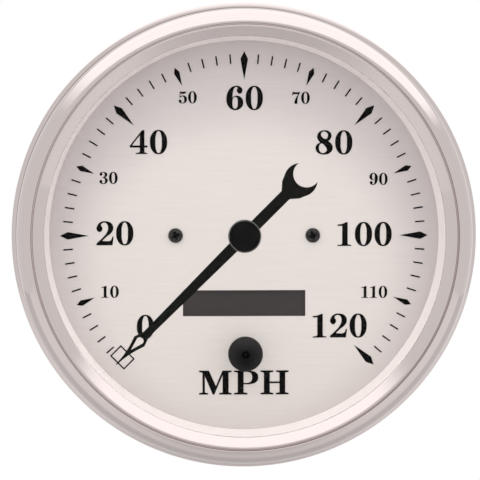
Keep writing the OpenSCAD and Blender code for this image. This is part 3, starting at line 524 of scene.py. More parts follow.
FINISHES: dict[str, Surface] = {made.slot: made for made in (
    # Drawn steel with zinc plate: a dull grey sheen with a faint mottle
    Finish("case_steel", "zinc plated steel", "B4B6B5", "9FA2A2",
           Pattern.GRAIN, 1.4, (0.32, 0.44), 1.0, bump=0.01),
    # Stainless steel, spun and polished: a warm mirror with hardly any marks
    Finish("polished_bezel", "polished stainless steel", "C8BEBC", "C4BAB8",
           Pattern.TURNED, 0.4, (0.05, 0.09), 1.0),
    # Flat coated glass: hardly a reflection from the front, a clear one from the side
    ClearGlass("lens_glass", "coated flat glass", "FEFEFE", 0.002, 25),
    # Moulded rubber: matt black
    Finish("black_rubber", "moulded rubber", "201F1F", "191818",
           Pattern.GRAIN, 0.5, (0.75, 0.9), bump=0.02),
    # White lacquer on aluminium: bright satin with a faint gloss that shows the ticks beside it
    Finish("bright_reflector", "white lacquer on aluminium", "FFF7F4", "FCF3F0",
           Pattern.TURNED, 0.5, (0.04, 0.08)),
    # Silver-white lacquer on brushed aluminium: pale satin with fine level streaks, and painted
    # shade that darkens it towards the edge, most of all at the top, a little less in blue
    PaintedLightFinish("dial_paint", "silver lacquer on brushed aluminium", "DFD7D2", "D9D1CC",
                    Pattern.BRUSHED, 0.35, (0.5, 0.6), shine=0.1, bump=0.004,
                    shade=(0.175, 0.185, 0.15), shade_at=(-0.7, -12.3), shade_wide=0.944,
                    shade_start=36.7, shade_end=56.6),
    # Screen printed ink: deep matt black
    Finish("dial_ink", "screen printed ink", "0D0C0C", "090808",
           Pattern.GRAIN, 0.25, (0.6, 0.75), shine=0.03),
    # Oiled black oxide on steel: black with a soft sheen
    Finish("black_screw", "black oxide on steel", "151212", "0E0C0C",
           Pattern.GRAIN, 0.4, (0.25, 0.35), shine=0.45),
    # Stamped aluminium with a flat black lacquer: hardly a sheen from the front
    Finish("pointer_black", "flat black lacquer", "121310", "0F100D",
           Pattern.GRAIN, 0.3, (0.42, 0.52), shine=0.04, bump=0.006),
    # Moulded ABS with a fine matt skin: deep black, with a painted highlight that makes it paler
    # along its round edge
    PaintedLightFinish("hub_black", "black moulded ABS", "0C0C0B", "080808",
                    Pattern.GRAIN, 0.5, (0.2, 0.26), shine=0.04, bump=0.003,
                    shade=(-35.0, -35.0, -35.0), shade_start=4.4, shade_end=4.6),
    # Ground steel: bright with fine rings
    Finish("spindle_steel", "ground steel", "C9C9C8", "B8B8B7",
           Pattern.TURNED, 0.2, (0.2, 0.3), 1.0),
    # Sintered ferrite: dark grey grit
    Finish("magnet_ferrite", "sintered ferrite", "4A4A4C", "38383A",
           Pattern.GRAIN, 0.3, (0.55, 0.75), bump=0.02),
    # Moulded nylon in its own colour: creamy and a little glossy
    Finish("bobbin_plastic", "natural nylon", "DDD5C0", "D2C9B1",
           Pattern.GRAIN, 0.8, (0.4, 0.5), bump=0.01),
    # Enamelled copper wire: reddish turns side by side, drawn coarser than the real wire so that
    # they show
    Finish("copper_wire", "enamelled copper wire", "D98F5C", "8A4A26",
           Pattern.WOUND, 0.4, (0.2, 0.35), 1.0, bump=0.05),
    # Turned brass: yellow with tool rings
    Finish("bearing_brass", "turned brass", "D9C077", "C6AA5C",
           Pattern.TURNED, 0.25, (0.18, 0.3), 1.0),
    # Nickel plate on steel: cool grey mirror, a little dull
    Finish("shield_steel", "nickel plated steel", "BCBDBE", "ABADAE",
           Pattern.GRAIN, 2.0, (0.2, 0.3), 1.0),
    # Tin plate: bright and slightly cloudy
    Finish("tinned_metal", "tin plate", "D6D5D1", "C4C3BE",
           Pattern.GRAIN, 0.8, (0.25, 0.4), 1.0),
    # Solder mask over glass cloth: green gloss with the weave just showing
    Finish("board_green", "green solder mask", "1F6440", "195536",
           Pattern.CLOTH, 0.5, (0.25, 0.4), bump=0.02),
    # Moulded black resin: matt and finely pitted
    Finish("black_plastic", "black moulded resin", "292929", "1F1F20",
           Pattern.GRAIN, 0.25, (0.5, 0.65), bump=0.01),
    # Shrink sleeve: glossy dark blue vinyl
    Finish("capacitor_sleeve", "blue vinyl sleeve", "243A70", "1D3062",
           Pattern.GRAIN, 1.5, (0.2, 0.3)),
    # Unlit display behind a polariser: smooth dark grey
    Finish("lcd_dark", "unlit display glass", "3F3A3A", "3C3737",
           Pattern.GRAIN, 3.0, (0.3, 0.36), shine=0.1),
    # Layered silicone: pink with dark stripes
    Finish("contact_silicone", "striped silicone", "DDA9A9", "6E5050",
           Pattern.WOUND, 0.3, (0.6, 0.7)),
    # Milky acrylic: even white
    Finish("backlight_white", "milky acrylic", "F0F0EC", "E8E8E3",
           Pattern.GRAIN, 1.0, (0.4, 0.5)),
    # Moulded ABS with a light spark finish: black, with a painted reflection that makes it
    # grey-black towards the rim and leaves it deep black in the middle, centred a little low so
    # that the top is paler
    PaintedLightFinish("knob_black", "spark finished black ABS", "060505", "040404",
                    Pattern.GRAIN, 0.2, (0.25, 0.32), shine=0.1, bump=0.008,
                    shade=(-12.0, -12.0, -12.0), shade_at=(0.0, -34.8), shade_start=0.5,
                    shade_end=6.0),
    # Glass filled nylon: charcoal with pale fibre flecks
    Finish("socket_plastic", "glass filled nylon", "343433", "282827",
           Pattern.GRAIN, 0.35, (0.5, 0.68), bump=0.015),
    # Thin clear lamp glass: a plain reflection, and a trace of its own tint
    ClearGlass("lamp_glass", "clear lamp glass", "FAFAF5", 0.04, 8),
    # Stamped brass, bright from the die
    Finish("tab_brass", "stamped brass", "DDC580", "CBB068",
           Pattern.BRUSHED, 0.2, (0.22, 0.34), 1.0, stretch=8.0),
    # Bright zinc plate: pale grey with a bluish cloud
    Finish("zinc_steel", "bright zinc plate", "CCCFD0", "B9BCBC",
           Pattern.GRAIN, 0.9, (0.22, 0.36), 1.0),
)}


def add_piece(name: str, shell: bmesh.types.BMesh, slot: str, nodes: tuple[str, ...] = (),
              body: str = "case", shadow: bool = True) -> None:
    """Stands a piece in the frame, dresses it and lets it ride its body.

    Args:
        name: Name of the piece.
        shell: Its faces in millimetres on the instrument's axes.
        slot: The record's material slot.
        nodes: The solids that it stands for.
        body: The body that it moves with.
        shadow: Whether it keeps light from what is behind it.
    """
    mesh = finished_mesh(shell, name)
    mesh.transform(STAND)
    mesh.materials.append(FINISHES[slot].material())
    piece = add_object(name, mesh)
    piece.visible_shadow = piece.visible_diffuse = shadow
    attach(piece, body)
    if nodes:
        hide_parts(*nodes)
    LOG.info("%s: %d faces on %s", name, len(mesh.polygons), body)


@dataclass
class Bezel:
    """The rolled ring that holds the glass and the bright ring under it."""

    bead_r: float = 68.25
    bead_h: float = 2.0
    bead_round: float = 12.0
    bead_start: float = 68.0
    bead_end: float = 73.0
    edge_round: float = 0.25
    valley_w: float = 0.3
    valley_d: float = 0.09
    skirt_r: float = 66.7
    skirt_in_r: float = 65.8
    hem_in_r: float = 64.0
    hem_t: float = 1.0
    roll_r: float = 5.6
    roll_z: float = 6.5
    roll_end: float = 74.0
    roll_in_end: float = 70.0
    sheet: float = 0.9
    groove_r: float = 62.0
    groove_z: float = 11.1
    brow_round: float = 0.45
    shoulder: float = 0.2
    shoulder_end: float = 170.0
    lip_r: float = 58.5
    lip_z: float = 9.3
    lip_t: float = 0.6
    slope: float = 32.0
    flat_end: float = 0.06
    gasket_r: float = 61.5
    ring_in_r: float = 57.3
    ring_top_r: float = 58.9
    ring_out_r: float = 64.6
    ring_wall: float = 1.2
    dial_z: float = 0.4
    flange_z: float = 2.0
    lens_z: float = 6.2
    turns: int = 256

    def hem(self) -> Loop:
        """Draws the outer edge of the bezel's section.

        Returns:
            Radius and z from the panel seat over the hem to the valley behind it.
        """
        edge_r = self.bead_r - self.edge_round
        start, end = math.radians(self.bead_start), math.radians(self.bead_end)
        inset = self.bead_round - self.edge_round
        bead = (edge_r - inset * math.cos(start), self.bead_h - self.bead_round * math.sin(end))
        upper_z = bead[1] + inset * math.sin(start)
        return [(self.hem_in_r, 0.0),
                *arc((edge_r, self.edge_round), self.edge_round, -90, 0, steps=6),
                *arc((edge_r, upper_z), self.edge_round, 0, self.bead_start, steps=6),
                *arc(bead, self.bead_round, self.bead_start, self.bead_end, steps=10)[1:],
                (self.skirt_r + self.valley_w, self.bead_h),
                (self.skirt_r, self.bead_h - self.valley_d)]

    def ring_profile(self) -> Loop:
        """Draws the bezel's section.

        Returns:
            Radius and z from the hem over the roll and the groove to the lip, and back inside.
        """
        roll = (self.skirt_r - self.roll_r, self.roll_z)
        end, top = math.radians(self.roll_end), self.roll_r - self.shoulder
        turn = (roll[0] + top * math.cos(end), roll[1] + top * math.sin(end))
        over = [*arc(roll, self.roll_r, 0, self.roll_end, steps=40),
                *arc(turn, self.shoulder, self.roll_end, self.shoulder_end, steps=8)[1:]]
        half = self.lip_t / 2
        lip = arc((self.lip_r + half, self.lip_z + half), half, 90 + self.slope, 270, steps=10)
        slope, out = math.radians(self.slope), self.brow_round
        brow_r = self.groove_r - out
        rise = (brow_r - out * math.sin(slope) - lip[0][0]) * math.tan(slope)
        brow_z = lip[0][1] + rise - out * math.cos(slope)
        brow = arc((brow_r, brow_z), out, 0, 90 + self.slope, steps=10)
        # Two points near the ends of the slope keep it flat between them
        flat = [tuple(Vector(brow[-1]).lerp(lip[0], share))
                for share in (self.flat_end, 1 - self.flat_end)]
        groove = ((over[-1][0] + self.groove_r) / 2, self.groove_z)
        return [*self.hem(), *over, groove, *brow, *flat, *lip, (self.gasket_r, self.lip_z),
                *arc(roll, self.roll_r - self.sheet, self.roll_in_end, 0, steps=24),
                (self.skirt_in_r, self.hem_t), (self.hem_in_r, self.hem_t)]

    def reflector_profile(self) -> Loop:
        """Draws the section of the bright ring between the glass and the dial.

        Returns:
            Radius and z from the ring's foot on the dial round its outside to its top.
        """
        shelf = self.lens_z - self.ring_wall
        lean = (self.ring_top_r - self.ring_in_r) / (self.lens_z - self.dial_z)
        foot_r, wall_r = self.ring_in_r + self.ring_wall, self.ring_out_r - self.ring_wall
        return [(self.ring_in_r, self.dial_z), (foot_r, self.dial_z),
                (foot_r + lean * (shelf - self.dial_z), shelf),
                (wall_r, shelf), (wall_r, self.flange_z),
                (self.ring_out_r, self.flange_z), (self.ring_out_r, self.lens_z),
                (self.ring_top_r, self.lens_z)]

    def build(self) -> None:
        """Makes the two rings."""
        for name, profile, slot, node in (
                ("bezel_ring", self.ring_profile(), "polished_bezel", "bezel"),
                ("bright_ring", self.reflector_profile(), "bright_reflector", "reflector_ring")):
            shell = bmesh.new()
            lathe(shell, profile, turns=self.turns)
            add_piece(name, shell, slot, (node,))


# Outlines of the printed figures, 7 mm high: the width, then the outline and its holes. A point
# with ~ is on a smooth curve, the others are corners.
FIGURES: dict[str, tuple[float, tuple[str, ...]]] = {
    "0": (5.06, (
        "~2.53,7.08 ~4.3,6.15 ~5.06,3.5 ~4.3,.85 ~2.53,-.08 ~.76,.85 ~0,3.5 ~.76,6.15",
        "~2.53,6.7 ~3.3,5.6 ~3.46,3.5 ~3.3,1.4 ~2.53,.3 ~1.76,1.4 ~1.6,3.5 ~1.76,5.6",
    )),
    "1": (4.0, (
        "0,0 4,0 4,.33 ~3.15,.45 2.95,.8 2.95,7 2.45,7 ~1.35,6.52 0,6.33 0,5.95 1.35,5.95 1.35,.8 "
        "~1.15,.45 0,.33",
    )),
    "2": (5.06, (
        "0,0 0,.5 ~1.6,2 ~2.95,3.6 ~3.4,5 ~3.05,6.3 ~2.3,6.66 ~1.65,6.45 ~1.35,5.9 ~1.7,5.25 "
        "~1.66,4.45 ~.85,3.9 ~.05,4.7 ~.35,5.9 ~1.2,6.8 ~2.6,7.08 ~4.3,6.55 ~4.96,5.05 ~4.35,3.65 "
        "~2.9,2.45 1.7,1.3 ~3.2,1.2 ~4.2,1.45 4.66,2.5 5.06,2.5 4.7,0",
    )),
    "3": (4.95, (
        "~.2,5.45 ~.75,6.6 ~2.4,7.08 ~4.1,6.55 ~4.66,5.4 ~4.2,4.3 3.3,3.78 ~4.5,3.1 ~4.95,1.95 "
        "~4.2,.5 ~2.35,-.08 ~.65,.4 ~.1,1.5 ~.95,2.35 ~1.8,1.55 ~1.6,.75 ~2.25,.32 ~3.05,.75 "
        "~3.35,1.95 ~2.95,3.2 1.9,3.55 1.9,3.92 ~2.8,4.2 ~3.15,5.4 ~2.85,6.45 ~2.25,6.72 "
        "~1.65,6.4 ~1.75,5.5 ~.95,4.7",
    )),
    "4": (5.19, (
        "1.77,0 5.06,0 5.06,.34 ~4.5,.44 4.3,.8 4.3,1.9 5.19,1.9 5.19,2.5 4.3,2.5 4.3,7 3.6,7 "
        "0,2.4 0,1.9 2.95,1.9 2.95,.8 ~2.7,.44 1.77,.34",
        "2.95,2.5 .65,2.5 2.95,5.5",
    )),
    "5": (4.92, (
        "1,3.3 .62,3.3 .75,7 ~1.6,6.85 ~3,6.8 4.45,7 ~4.25,6.1 ~3.4,5.6 ~2.2,5.55 1.1,5.75 "
        "1.05,4.1 ~2.7,4.6 ~4.4,3.9 ~4.92,2.25 ~4.25,.6 ~2.35,-.08 ~.65,.4 ~.1,1.45 ~.9,2.25 "
        "~1.75,1.45 ~1.6,.75 ~2.25,.32 ~3.05,.75 ~3.35,2.25 ~3,3.7 ~2.3,4.1",
    )),
    "6": (4.93, (
        "~2.5,-.08 ~4.3,.65 ~4.93,2.1 ~4.4,3.6 ~3.15,4.2 ~2.25,3.95 1.8,3.6 ~1.88,5 ~2.25,6.3 "
        "~2.9,6.74 ~3.25,6.5 ~3.05,5.65 ~3.85,4.75 ~4.7,5.55 ~4.25,6.65 ~2.85,7.1 ~1,6.2 ~0,3.5 "
        "~.6,1",
        "~2.55,.36 ~3.33,2.05 ~2.6,3.82 ~1.77,2.05",
    )),
    "7": (4.85, (
        ".2,4.8 .55,7 ~1.5,6.8 ~3.2,6.7 4.85,7 4.85,6.45 ~3.75,4.2 ~3.3,1.6 3.35,0 1.55,0 "
        "~1.75,1.6 ~2.55,3.6 3.9,5.6 ~2.6,5.6 ~1.2,5.6 ~.75,5.3 .55,4.8",
    )),
    "8": (5.06, (
        "~2.6,7.08 ~4.2,6.6 ~4.68,5.45 ~4.35,4.45 3.75,3.85 ~4.65,3.1 ~5.06,1.9 ~4.35,.5 "
        "~2.5,-.08 ~.6,.5 ~0,1.75 ~.35,2.8 1.3,3.5 ~.7,4.3 ~.45,5.25 ~1.05,6.55",
        "~2.6,6.7 ~3.5,6.15 ~3.62,5.3 ~3.05,4.55 ~2,5 ~1.6,5.75 ~1.85,6.45",
        "~2.3,.38 ~3.2,.95 ~3.25,1.7 ~2.65,2.55 ~1.75,3.2 ~1.15,2.6 ~1.02,1.6 ~1.4,.72",
    )),
    "M": (9.6, (
        "0,0 2.65,0 2.65,.42 1.72,.62 1.68,5.55 4.05,0 4.5,0 6.95,5.75 6.95,.62 5.95,.42 5.95,0 "
        "9.6,0 9.6,.42 8.7,.62 8.7,6.48 9.6,6.68 9.6,7.1 6.9,7.1 4.98,2.5 2.9,7.1 0,7.1 0,6.68 "
        "1.0,6.48 1.05,.62 0,.42",
    )),
    "P": (7.1, (
        "0,0 3.95,0 3.95,.42 2.82,.62 2.82,3.0 4.6,3.0 ~6.5,3.65 ~7.15,5.05 ~6.5,6.5 4.6,7.1 "
        "0,7.1 0,6.68 1.1,6.48 1.1,.62 0,.42",
        "2.82,3.42 4.1,3.42 ~5.05,3.9 ~5.35,5.05 ~5.05,6.28 4.1,6.68 2.82,6.68",
    )),
    "H": (8.3, (
        "0,0 3.8,0 3.8,.42 2.72,.62 2.72,3.3 5.6,3.3 5.6,.62 4.55,.42 4.55,0 8.3,0 8.3,.42 "
        "7.3,.62 7.3,6.48 8.3,6.68 8.3,7.1 4.55,7.1 4.55,6.68 5.6,6.48 5.6,3.82 2.72,3.82 "
        "2.72,6.48 3.8,6.68 3.8,7.1 0,7.1 0,6.68 1.0,6.48 1.0,.62 0,.42",
    )),
}

# The 9 is the 6 turned over about half this height
SIX_SPAN = 7.02


def outline(figure: str) -> tuple[float, list[Loop]]:
    """Width and loops of one printed figure, with 9 as 6 turned over.

    Args:
        figure: One figure or letter.

    Returns:
        Its width, and its outer outline followed by its holes.
    """
    turned = figure == "9"
    width, texts = FIGURES["6" if turned else figure]
    loops = []
    for text in texts:
        points = [(*map(float, word.lstrip("~").split(",")), word[0] == "~")
                  for word in text.split()]
        if turned:
            points = [(width - x, SIX_SPAN - y, smooth) for x, y, smooth in points]
        loops.append(smooth_loop(points))
    return width, loops


@dataclass
class DialPrint:
    """The figures and the unit printed on the dial."""

    low: float = 0.4
    ink: float = 0.08
    gap: float = 0.72
    one_gap: float = 1.1
    height: float = 7.0
    large: dict[str, Point] = field(default_factory=lambda: {
        "60": (0.13, 40.4), "40": (-28.1, 27.5), "80": (26.4, 27.35), "20": (-38.0, 0.7),
        "100": (35.5, 0.35), "120": (28.2, -26.7), "0": (-29.1, -26.9), "MPH": (-0.1, -43.5)})
    small: dict[str, Point] = field(default_factory=lambda: {
        "10": (-39.45, -16.5), "30": (-39.85, 17.0), "50": (-16.6, 40.6), "70": (16.6, 40.45),
        "90": (39.55, 16.6), "110": (38.4, -16.75)})
    small_scale: float = 0.5

    def word(self, shell: bmesh.types.BMesh, text: str, centre: Point, scale: float) -> None:
        """Prints a number or the unit.

        Args:
            shell: The shell that gets the faces.
            text: The figures.
            centre: Middle of the word.
            scale: Size against the large figures.
        """
        figures = [outline(figure) for figure in text]
        gaps = [self.one_gap if figure == "1" else self.gap for figure in text]
        ends = [sum(width for width, _ in figures[:i]) + sum(gaps[:i])
                for i in range(len(text) + 1)]
        middle = (ends[-1] - gaps[-1]) / 2
        for start, (_, loops) in zip(ends, figures):
            placed = [[(centre[0] + (x + start - middle) * scale,
                        centre[1] + (y - self.height / 2) * scale) for x, y in loop]
                      for loop in loops]
            plate(shell, placed, self.low, self.low + self.ink)

    def build(self) -> None:
        """Prints all the figures as one piece."""
        shell = bmesh.new()
        for words, scale in ((self.large, 1.0), (self.small, self.small_scale)):
            for text, centre in words.items():
                self.word(shell, text, centre, scale)
        add_piece("dial_figures", shell, "dial_ink")


@dataclass
class Pointer:
    """The blade with its hollow spade and crescent, and the cap over its hub."""

    zero_angle: float = 225.0
    tip_r: float = 53.3
    tip_w: float = 0.35
    spade_w: float = 4.2
    spade_curve: float = 1.9
    spade_points: int = 20
    shoulder_r: float = 40.9
    wide_r: float = 43.7
    window_r: float = 42.4
    window_d: float = 2.2
    window_l: float = 4.8
    end_w: float = 2.2
    root_w: float = 3.35
    eye_r: float = 3.04
    eye_gap: float = 0.01
    tail_at: float = 23.3
    flare_start: float = 1.27
    flare_mid: Point = (0.83, 0.73)
    flare_end: float = 58.0
    crescent_r: float = 4.95
    bite_at: float = 25.75
    bite_r: float = 3.95
    low: float = 3.2
    high: float = 3.9
    bevel: float = 0.12
    boss_r: float = 2.2
    boss_z: float = 1.2
    cap_r: float = 4.85
    cap_z: float = 5.3
    cap_round: float = 0.3
    bore_r: float = 0.76
    bore_z: float = 4.6

    def upper_edge(self) -> Loop:
        """Draws one half of the blade's outline, with the blade along x.

        Returns:
            The points from the tip over the eye to the bite in the crescent.
        """
        edge = []
        for i in range(self.spade_points + 1):
            t = 1 - i / self.spade_points
            swell = (self.spade_w - self.tip_w) / 2 * (1 - t) ** self.spade_curve
            edge.append((self.wide_r + t * (self.tip_r - self.wide_r), self.tip_w / 2 + swell))
        edge.append((self.shoulder_r, self.end_w / 2))
        half = self.root_w / 2
        eye = math.degrees(math.asin(half / self.eye_r))
        edge += arc((0, 0), self.eye_r, eye, 180 - eye, steps=12)
        across, up = self.flare_mid
        edge += [(self.crescent_r * self.flare_start - self.tail_at, half),
                 (self.crescent_r * across - self.tail_at, self.crescent_r * up)]
        apart = self.bite_at - self.tail_at
        along = (self.crescent_r ** 2 - self.bite_r ** 2 + apart ** 2) / (2 * apart)
        horn_y = math.sqrt(self.crescent_r ** 2 - along ** 2)
        horn = math.degrees(math.atan2(horn_y, -along))
        edge += arc((-self.tail_at, 0), self.crescent_r, self.flare_end, horn, steps=24)
        bite = math.degrees(math.atan2(horn_y, apart - along))
        edge += arc((-self.bite_at, 0), self.bite_r, bite, 0, steps=20)[1:]
        return edge

    def window(self) -> Loop:
        """Draws the pointed hole in the spade.

        Returns:
            The hole's outline, with the blade along x.
        """
        half = self.window_d / 2
        return [(self.window_r + self.window_l, 0.0),
                *arc((self.window_r + half, 0), half, 90, 270, steps=16)]

    def cap_profile(self) -> Loop:
        """Draws the section of the cap.

        Returns:
            Radius and z from the blind bore for the spindle over the boss to the top.
        """
        edge = (self.cap_r - self.cap_round, self.cap_z - self.cap_round)
        return [(0, self.bore_z), (self.bore_r, self.bore_z), (self.bore_r, self.boss_z),
                (self.boss_r, self.boss_z), (self.boss_r, self.high), (self.cap_r, self.high),
                *arc(edge, self.cap_round, 0, 90, steps=10), (0, self.cap_z)]

    def build(self) -> None:
        """Makes the blade and its cap, whose shadow the photo's even light doesn't show."""
        upper = self.upper_edge()
        loops = [upper + [(x, -y) for x, y in reversed(upper[:-1])], self.window(),
                 circle((0, 0), self.boss_r + self.eye_gap, steps=32)]
        turn = math.radians(self.zero_angle)
        across, up = math.cos(turn), math.sin(turn)
        turned = [[(x * across - y * up, x * up + y * across) for x, y in loop] for loop in loops]
        arm, cap = bmesh.new(), bmesh.new()
        plate(arm, turned, self.low, self.high, self.bevel)
        lathe(cap, self.cap_profile(), turns=96)
        add_piece("pointer_arm", arm, "pointer_black", ("pointer_blade",), "pointer", shadow=False)
        add_piece("pointer_cap", cap, "hub_black", ("pointer_hub",), "pointer", shadow=False)


@dataclass
class TripButton:
    """The push button's coned top with its dimple."""

    y: float = -34.0
    radius: float = 5.1
    low: float = 10.6
    high: float = 13.8
    rim_round: float = 1.2
    rim_end: float = 62.0
    cone_h: float = 1.45
    brow_round: float = 0.4
    brow_end: float = 150.0
    dimple_r: float = 1.2
    dimple: float = 1.4
    stem_r: float = 1.81
    stem_z: float = 12.0

    def profile(self) -> Loop:
        """Draws the section of the button's top.

        Returns:
            Radius and z from the hole for the stem over the cone to the dimple.
        """
        rim_z = self.high - self.cone_h - self.rim_round
        rim = arc((self.radius - self.rim_round, rim_z), self.rim_round, 0, self.rim_end, steps=12)
        brow = arc((self.dimple_r + self.brow_round / 2, self.high - self.brow_round),
                   self.brow_round, self.rim_end, self.brow_end, steps=8)
        edge_r, edge_z = brow[-1]
        bowl_r = (edge_r ** 2 + self.dimple ** 2) / (2 * self.dimple)
        span = math.degrees(math.asin(edge_r / bowl_r))
        bowl = arc((0, edge_z - self.dimple + bowl_r), bowl_r, span - 90, -90, steps=8)[1:]
        return [(0, self.stem_z), (self.stem_r, self.stem_z), (self.stem_r, self.low),
                (self.radius, self.low), *rim, *brow, *bowl]

    def build(self) -> None:
        """Makes the button's top, which has no shadow in the photo either."""
        shell = bmesh.new()
        lathe(shell, self.profile(), (0, self.y), turns=96)
        add_piece("button_top", shell, "knob_black", ("trip_knob",), "trip_button", shadow=False)


@dataclass
class DialScrews:
    """The two pan head screws that hold the dial."""

    x: float = 20.2
    head_r: float = 2.15
    edge_z: float = 0.6
    low: float = 0.4
    high: float = 1.78
    shank_r: float = 0.95
    end_z: float = -6.6
    cross_l: float = 3.2
    cross_w: float = 1.0
    cross_d: float = 1.3
    cross_end: float = 0.1
    cross_turn: float = 20.0

    def profile(self) -> Loop:
        """Draws the section of a screw.

        Returns:
            Radius and z from the end of the shank to the top of the domed head.
        """
        dome_h = self.high - self.edge_z
        dome = [(self.head_r * across, self.edge_z + dome_h * up)
                for across, up in arc((0, 0), 1, 0, 90, steps=12)]
        return [(0, self.end_z), (self.shank_r, self.end_z), (self.shank_r, self.low),
                (self.head_r, self.low), *dome]

    def cross(self, shell: bmesh.types.BMesh, x: float) -> None:
        """Makes what is cut out of a head: a cross that narrows downwards.

        Args:
            shell: The shell that gets the faces.
            x: Place of the screw.
        """
        turns = [math.radians(self.cross_turn + 90 * i) for i in range(4)]
        rings = []
        # Full size is at the top of the head, and the taper runs on as far above it as below
        for z, scale in ((self.high + self.cross_d, 2 - self.cross_end),
                         (self.high - self.cross_d, self.cross_end)):
            long, half = self.cross_l / 2 * scale, self.cross_w / 2 * scale
            rings.append([shell.verts.new((x + u * math.cos(a) - v * math.sin(a),
                                           u * math.sin(a) + v * math.cos(a), z))
                          for a in turns for u, v in ((long, -half), (long, half), (half, half))])
            shell.faces.new(rings[-1])
        upper, lower = rings
        for i in range(len(upper)):
            shell.faces.new((upper[i - 1], upper[i], lower[i], lower[i - 1]))

    def build(self) -> None:
        """Makes the screws and cuts their recesses."""
        shell, cutter = bmesh.new(), bmesh.new()
        for x in (-self.x, self.x):
            lathe(shell, self.profile(), (x, 0))
            self.cross(cutter, x)
        carve(shell, cutter)
        add_piece("cross_screws", shell, "black_screw", ("dial_screws",))


@dataclass
class MountingStuds:
    """The two threaded studs and their nuts."""

    x: float = 35.0
    tip_z: float = -76.0
    nut_z: float = -62.0
    root_z: float = -48.0
    major_r: float = 2.5
    minor_r: float = 2.06
    core_r: float = 2.1
    pitch: float = 0.8
    valley_end: float = 0.25
    crest_start: float = 0.5625
    crest_end: float = 0.6875
    tip_chamfer: float = 0.7
    thread_steps: int = 36
    nut_flat: float = 8.0
    nut_h: float = 4.0
    nut_face: float = 3.75
    nut_slope: float = 30.0
    bore_r: float = 2.15
    bore_chamfer: float = 0.4
    nut_steps: int = 72

    def thread_rows(self) -> list[Point]:
        """Shares of the pitch where valley and crest begin and end, with the radius there."""
        return [(0.0, self.minor_r), (self.valley_end, self.minor_r),
                (self.crest_start, self.major_r), (self.crest_end, self.major_r)]

    def thread_r(self, z: float, turn: float) -> float:
        """Radius of the thread at a height.

        Args:
            z: Height on the stud.
            turn: Place round the stud, in turns.

        Returns:
            The radius, less at the chamfered tip.
        """
        rows = [*self.thread_rows(), (1.0, self.minor_r)]
        phase = ((z - self.tip_z) / self.pitch - turn) % 1.0
        radius = next(low_r + (high_r - low_r) * (phase - low) / (high - low)
                      for (low, low_r), (high, high_r) in zip(rows, rows[1:]) if phase <= high)
        return min(radius, self.major_r - self.tip_chamfer + z - self.tip_z)

    def stud(self, shell: bmesh.types.BMesh, x: float) -> None:
        """Winds a thread and carries it on as a plain root.

        Args:
            shell: The shell that gets the faces.
            x: Place of the stud.
        """
        turns = [i / self.thread_steps for i in range(self.thread_steps + 1)]
        rings = [[(0.0, self.tip_z)]]
        for lap in range(-1, math.ceil((self.nut_z - self.tip_z) / self.pitch) + 1):
            for share, _ in self.thread_rows():
                heights = [self.tip_z + (lap + share + turn) * self.pitch for turn in turns]
                heights = [min(max(z, self.tip_z), self.nut_z) for z in heights]
                rings.append([(self.thread_r(z, turn), z) for z, turn in zip(heights, turns)])
        rings += [[(self.core_r, z)] * len(turns) for z in (self.nut_z, self.root_z)]
        loft(shell, [*rings, [(0.0, self.root_z)]], (x, 0), closed=False)

    def nut(self, shell: bmesh.types.BMesh, x: float) -> None:
        """Makes a hexagon nut with chamfered faces.

        Args:
            shell: The shell that gets the faces.
            x: Place of the nut.
        """
        turns = [FULL_TURN * i / self.nut_steps for i in range(self.nut_steps)]
        edge = [self.nut_flat / 2 / math.cos(turn % (FULL_TURN / 6) - FULL_TURN / 12)
                for turn in turns]
        fall = [(r - self.nut_face) * math.tan(math.radians(self.nut_slope)) for r in edge]
        low, high = self.nut_z, self.nut_z + self.nut_h
        mouth = self.bore_r + self.bore_chamfer
        upper = ((self.bore_r, high - self.bore_chamfer), (mouth, high), (self.nut_face, high))
        lower = ((self.nut_face, low), (mouth, low), (self.bore_r, low + self.bore_chamfer))
        loft(shell, [*([corner] * self.nut_steps for corner in upper),
                     [(r, high - down) for r, down in zip(edge, fall)],
                     [(r, low + down) for r, down in zip(edge, fall)],
                     *([corner] * self.nut_steps for corner in lower)], (x, 0))

    def build(self) -> None:
        """Makes the studs and the nuts."""
        studs, nuts = bmesh.new(), bmesh.new()
        for x in (-self.x, self.x):
            self.stud(studs, x)
            self.nut(nuts, x)
        add_piece("threaded_studs", studs, "zinc_steel", ("mounting_studs",))
        add_piece("hexagon_nuts", nuts, "zinc_steel", ("stud_nuts",))


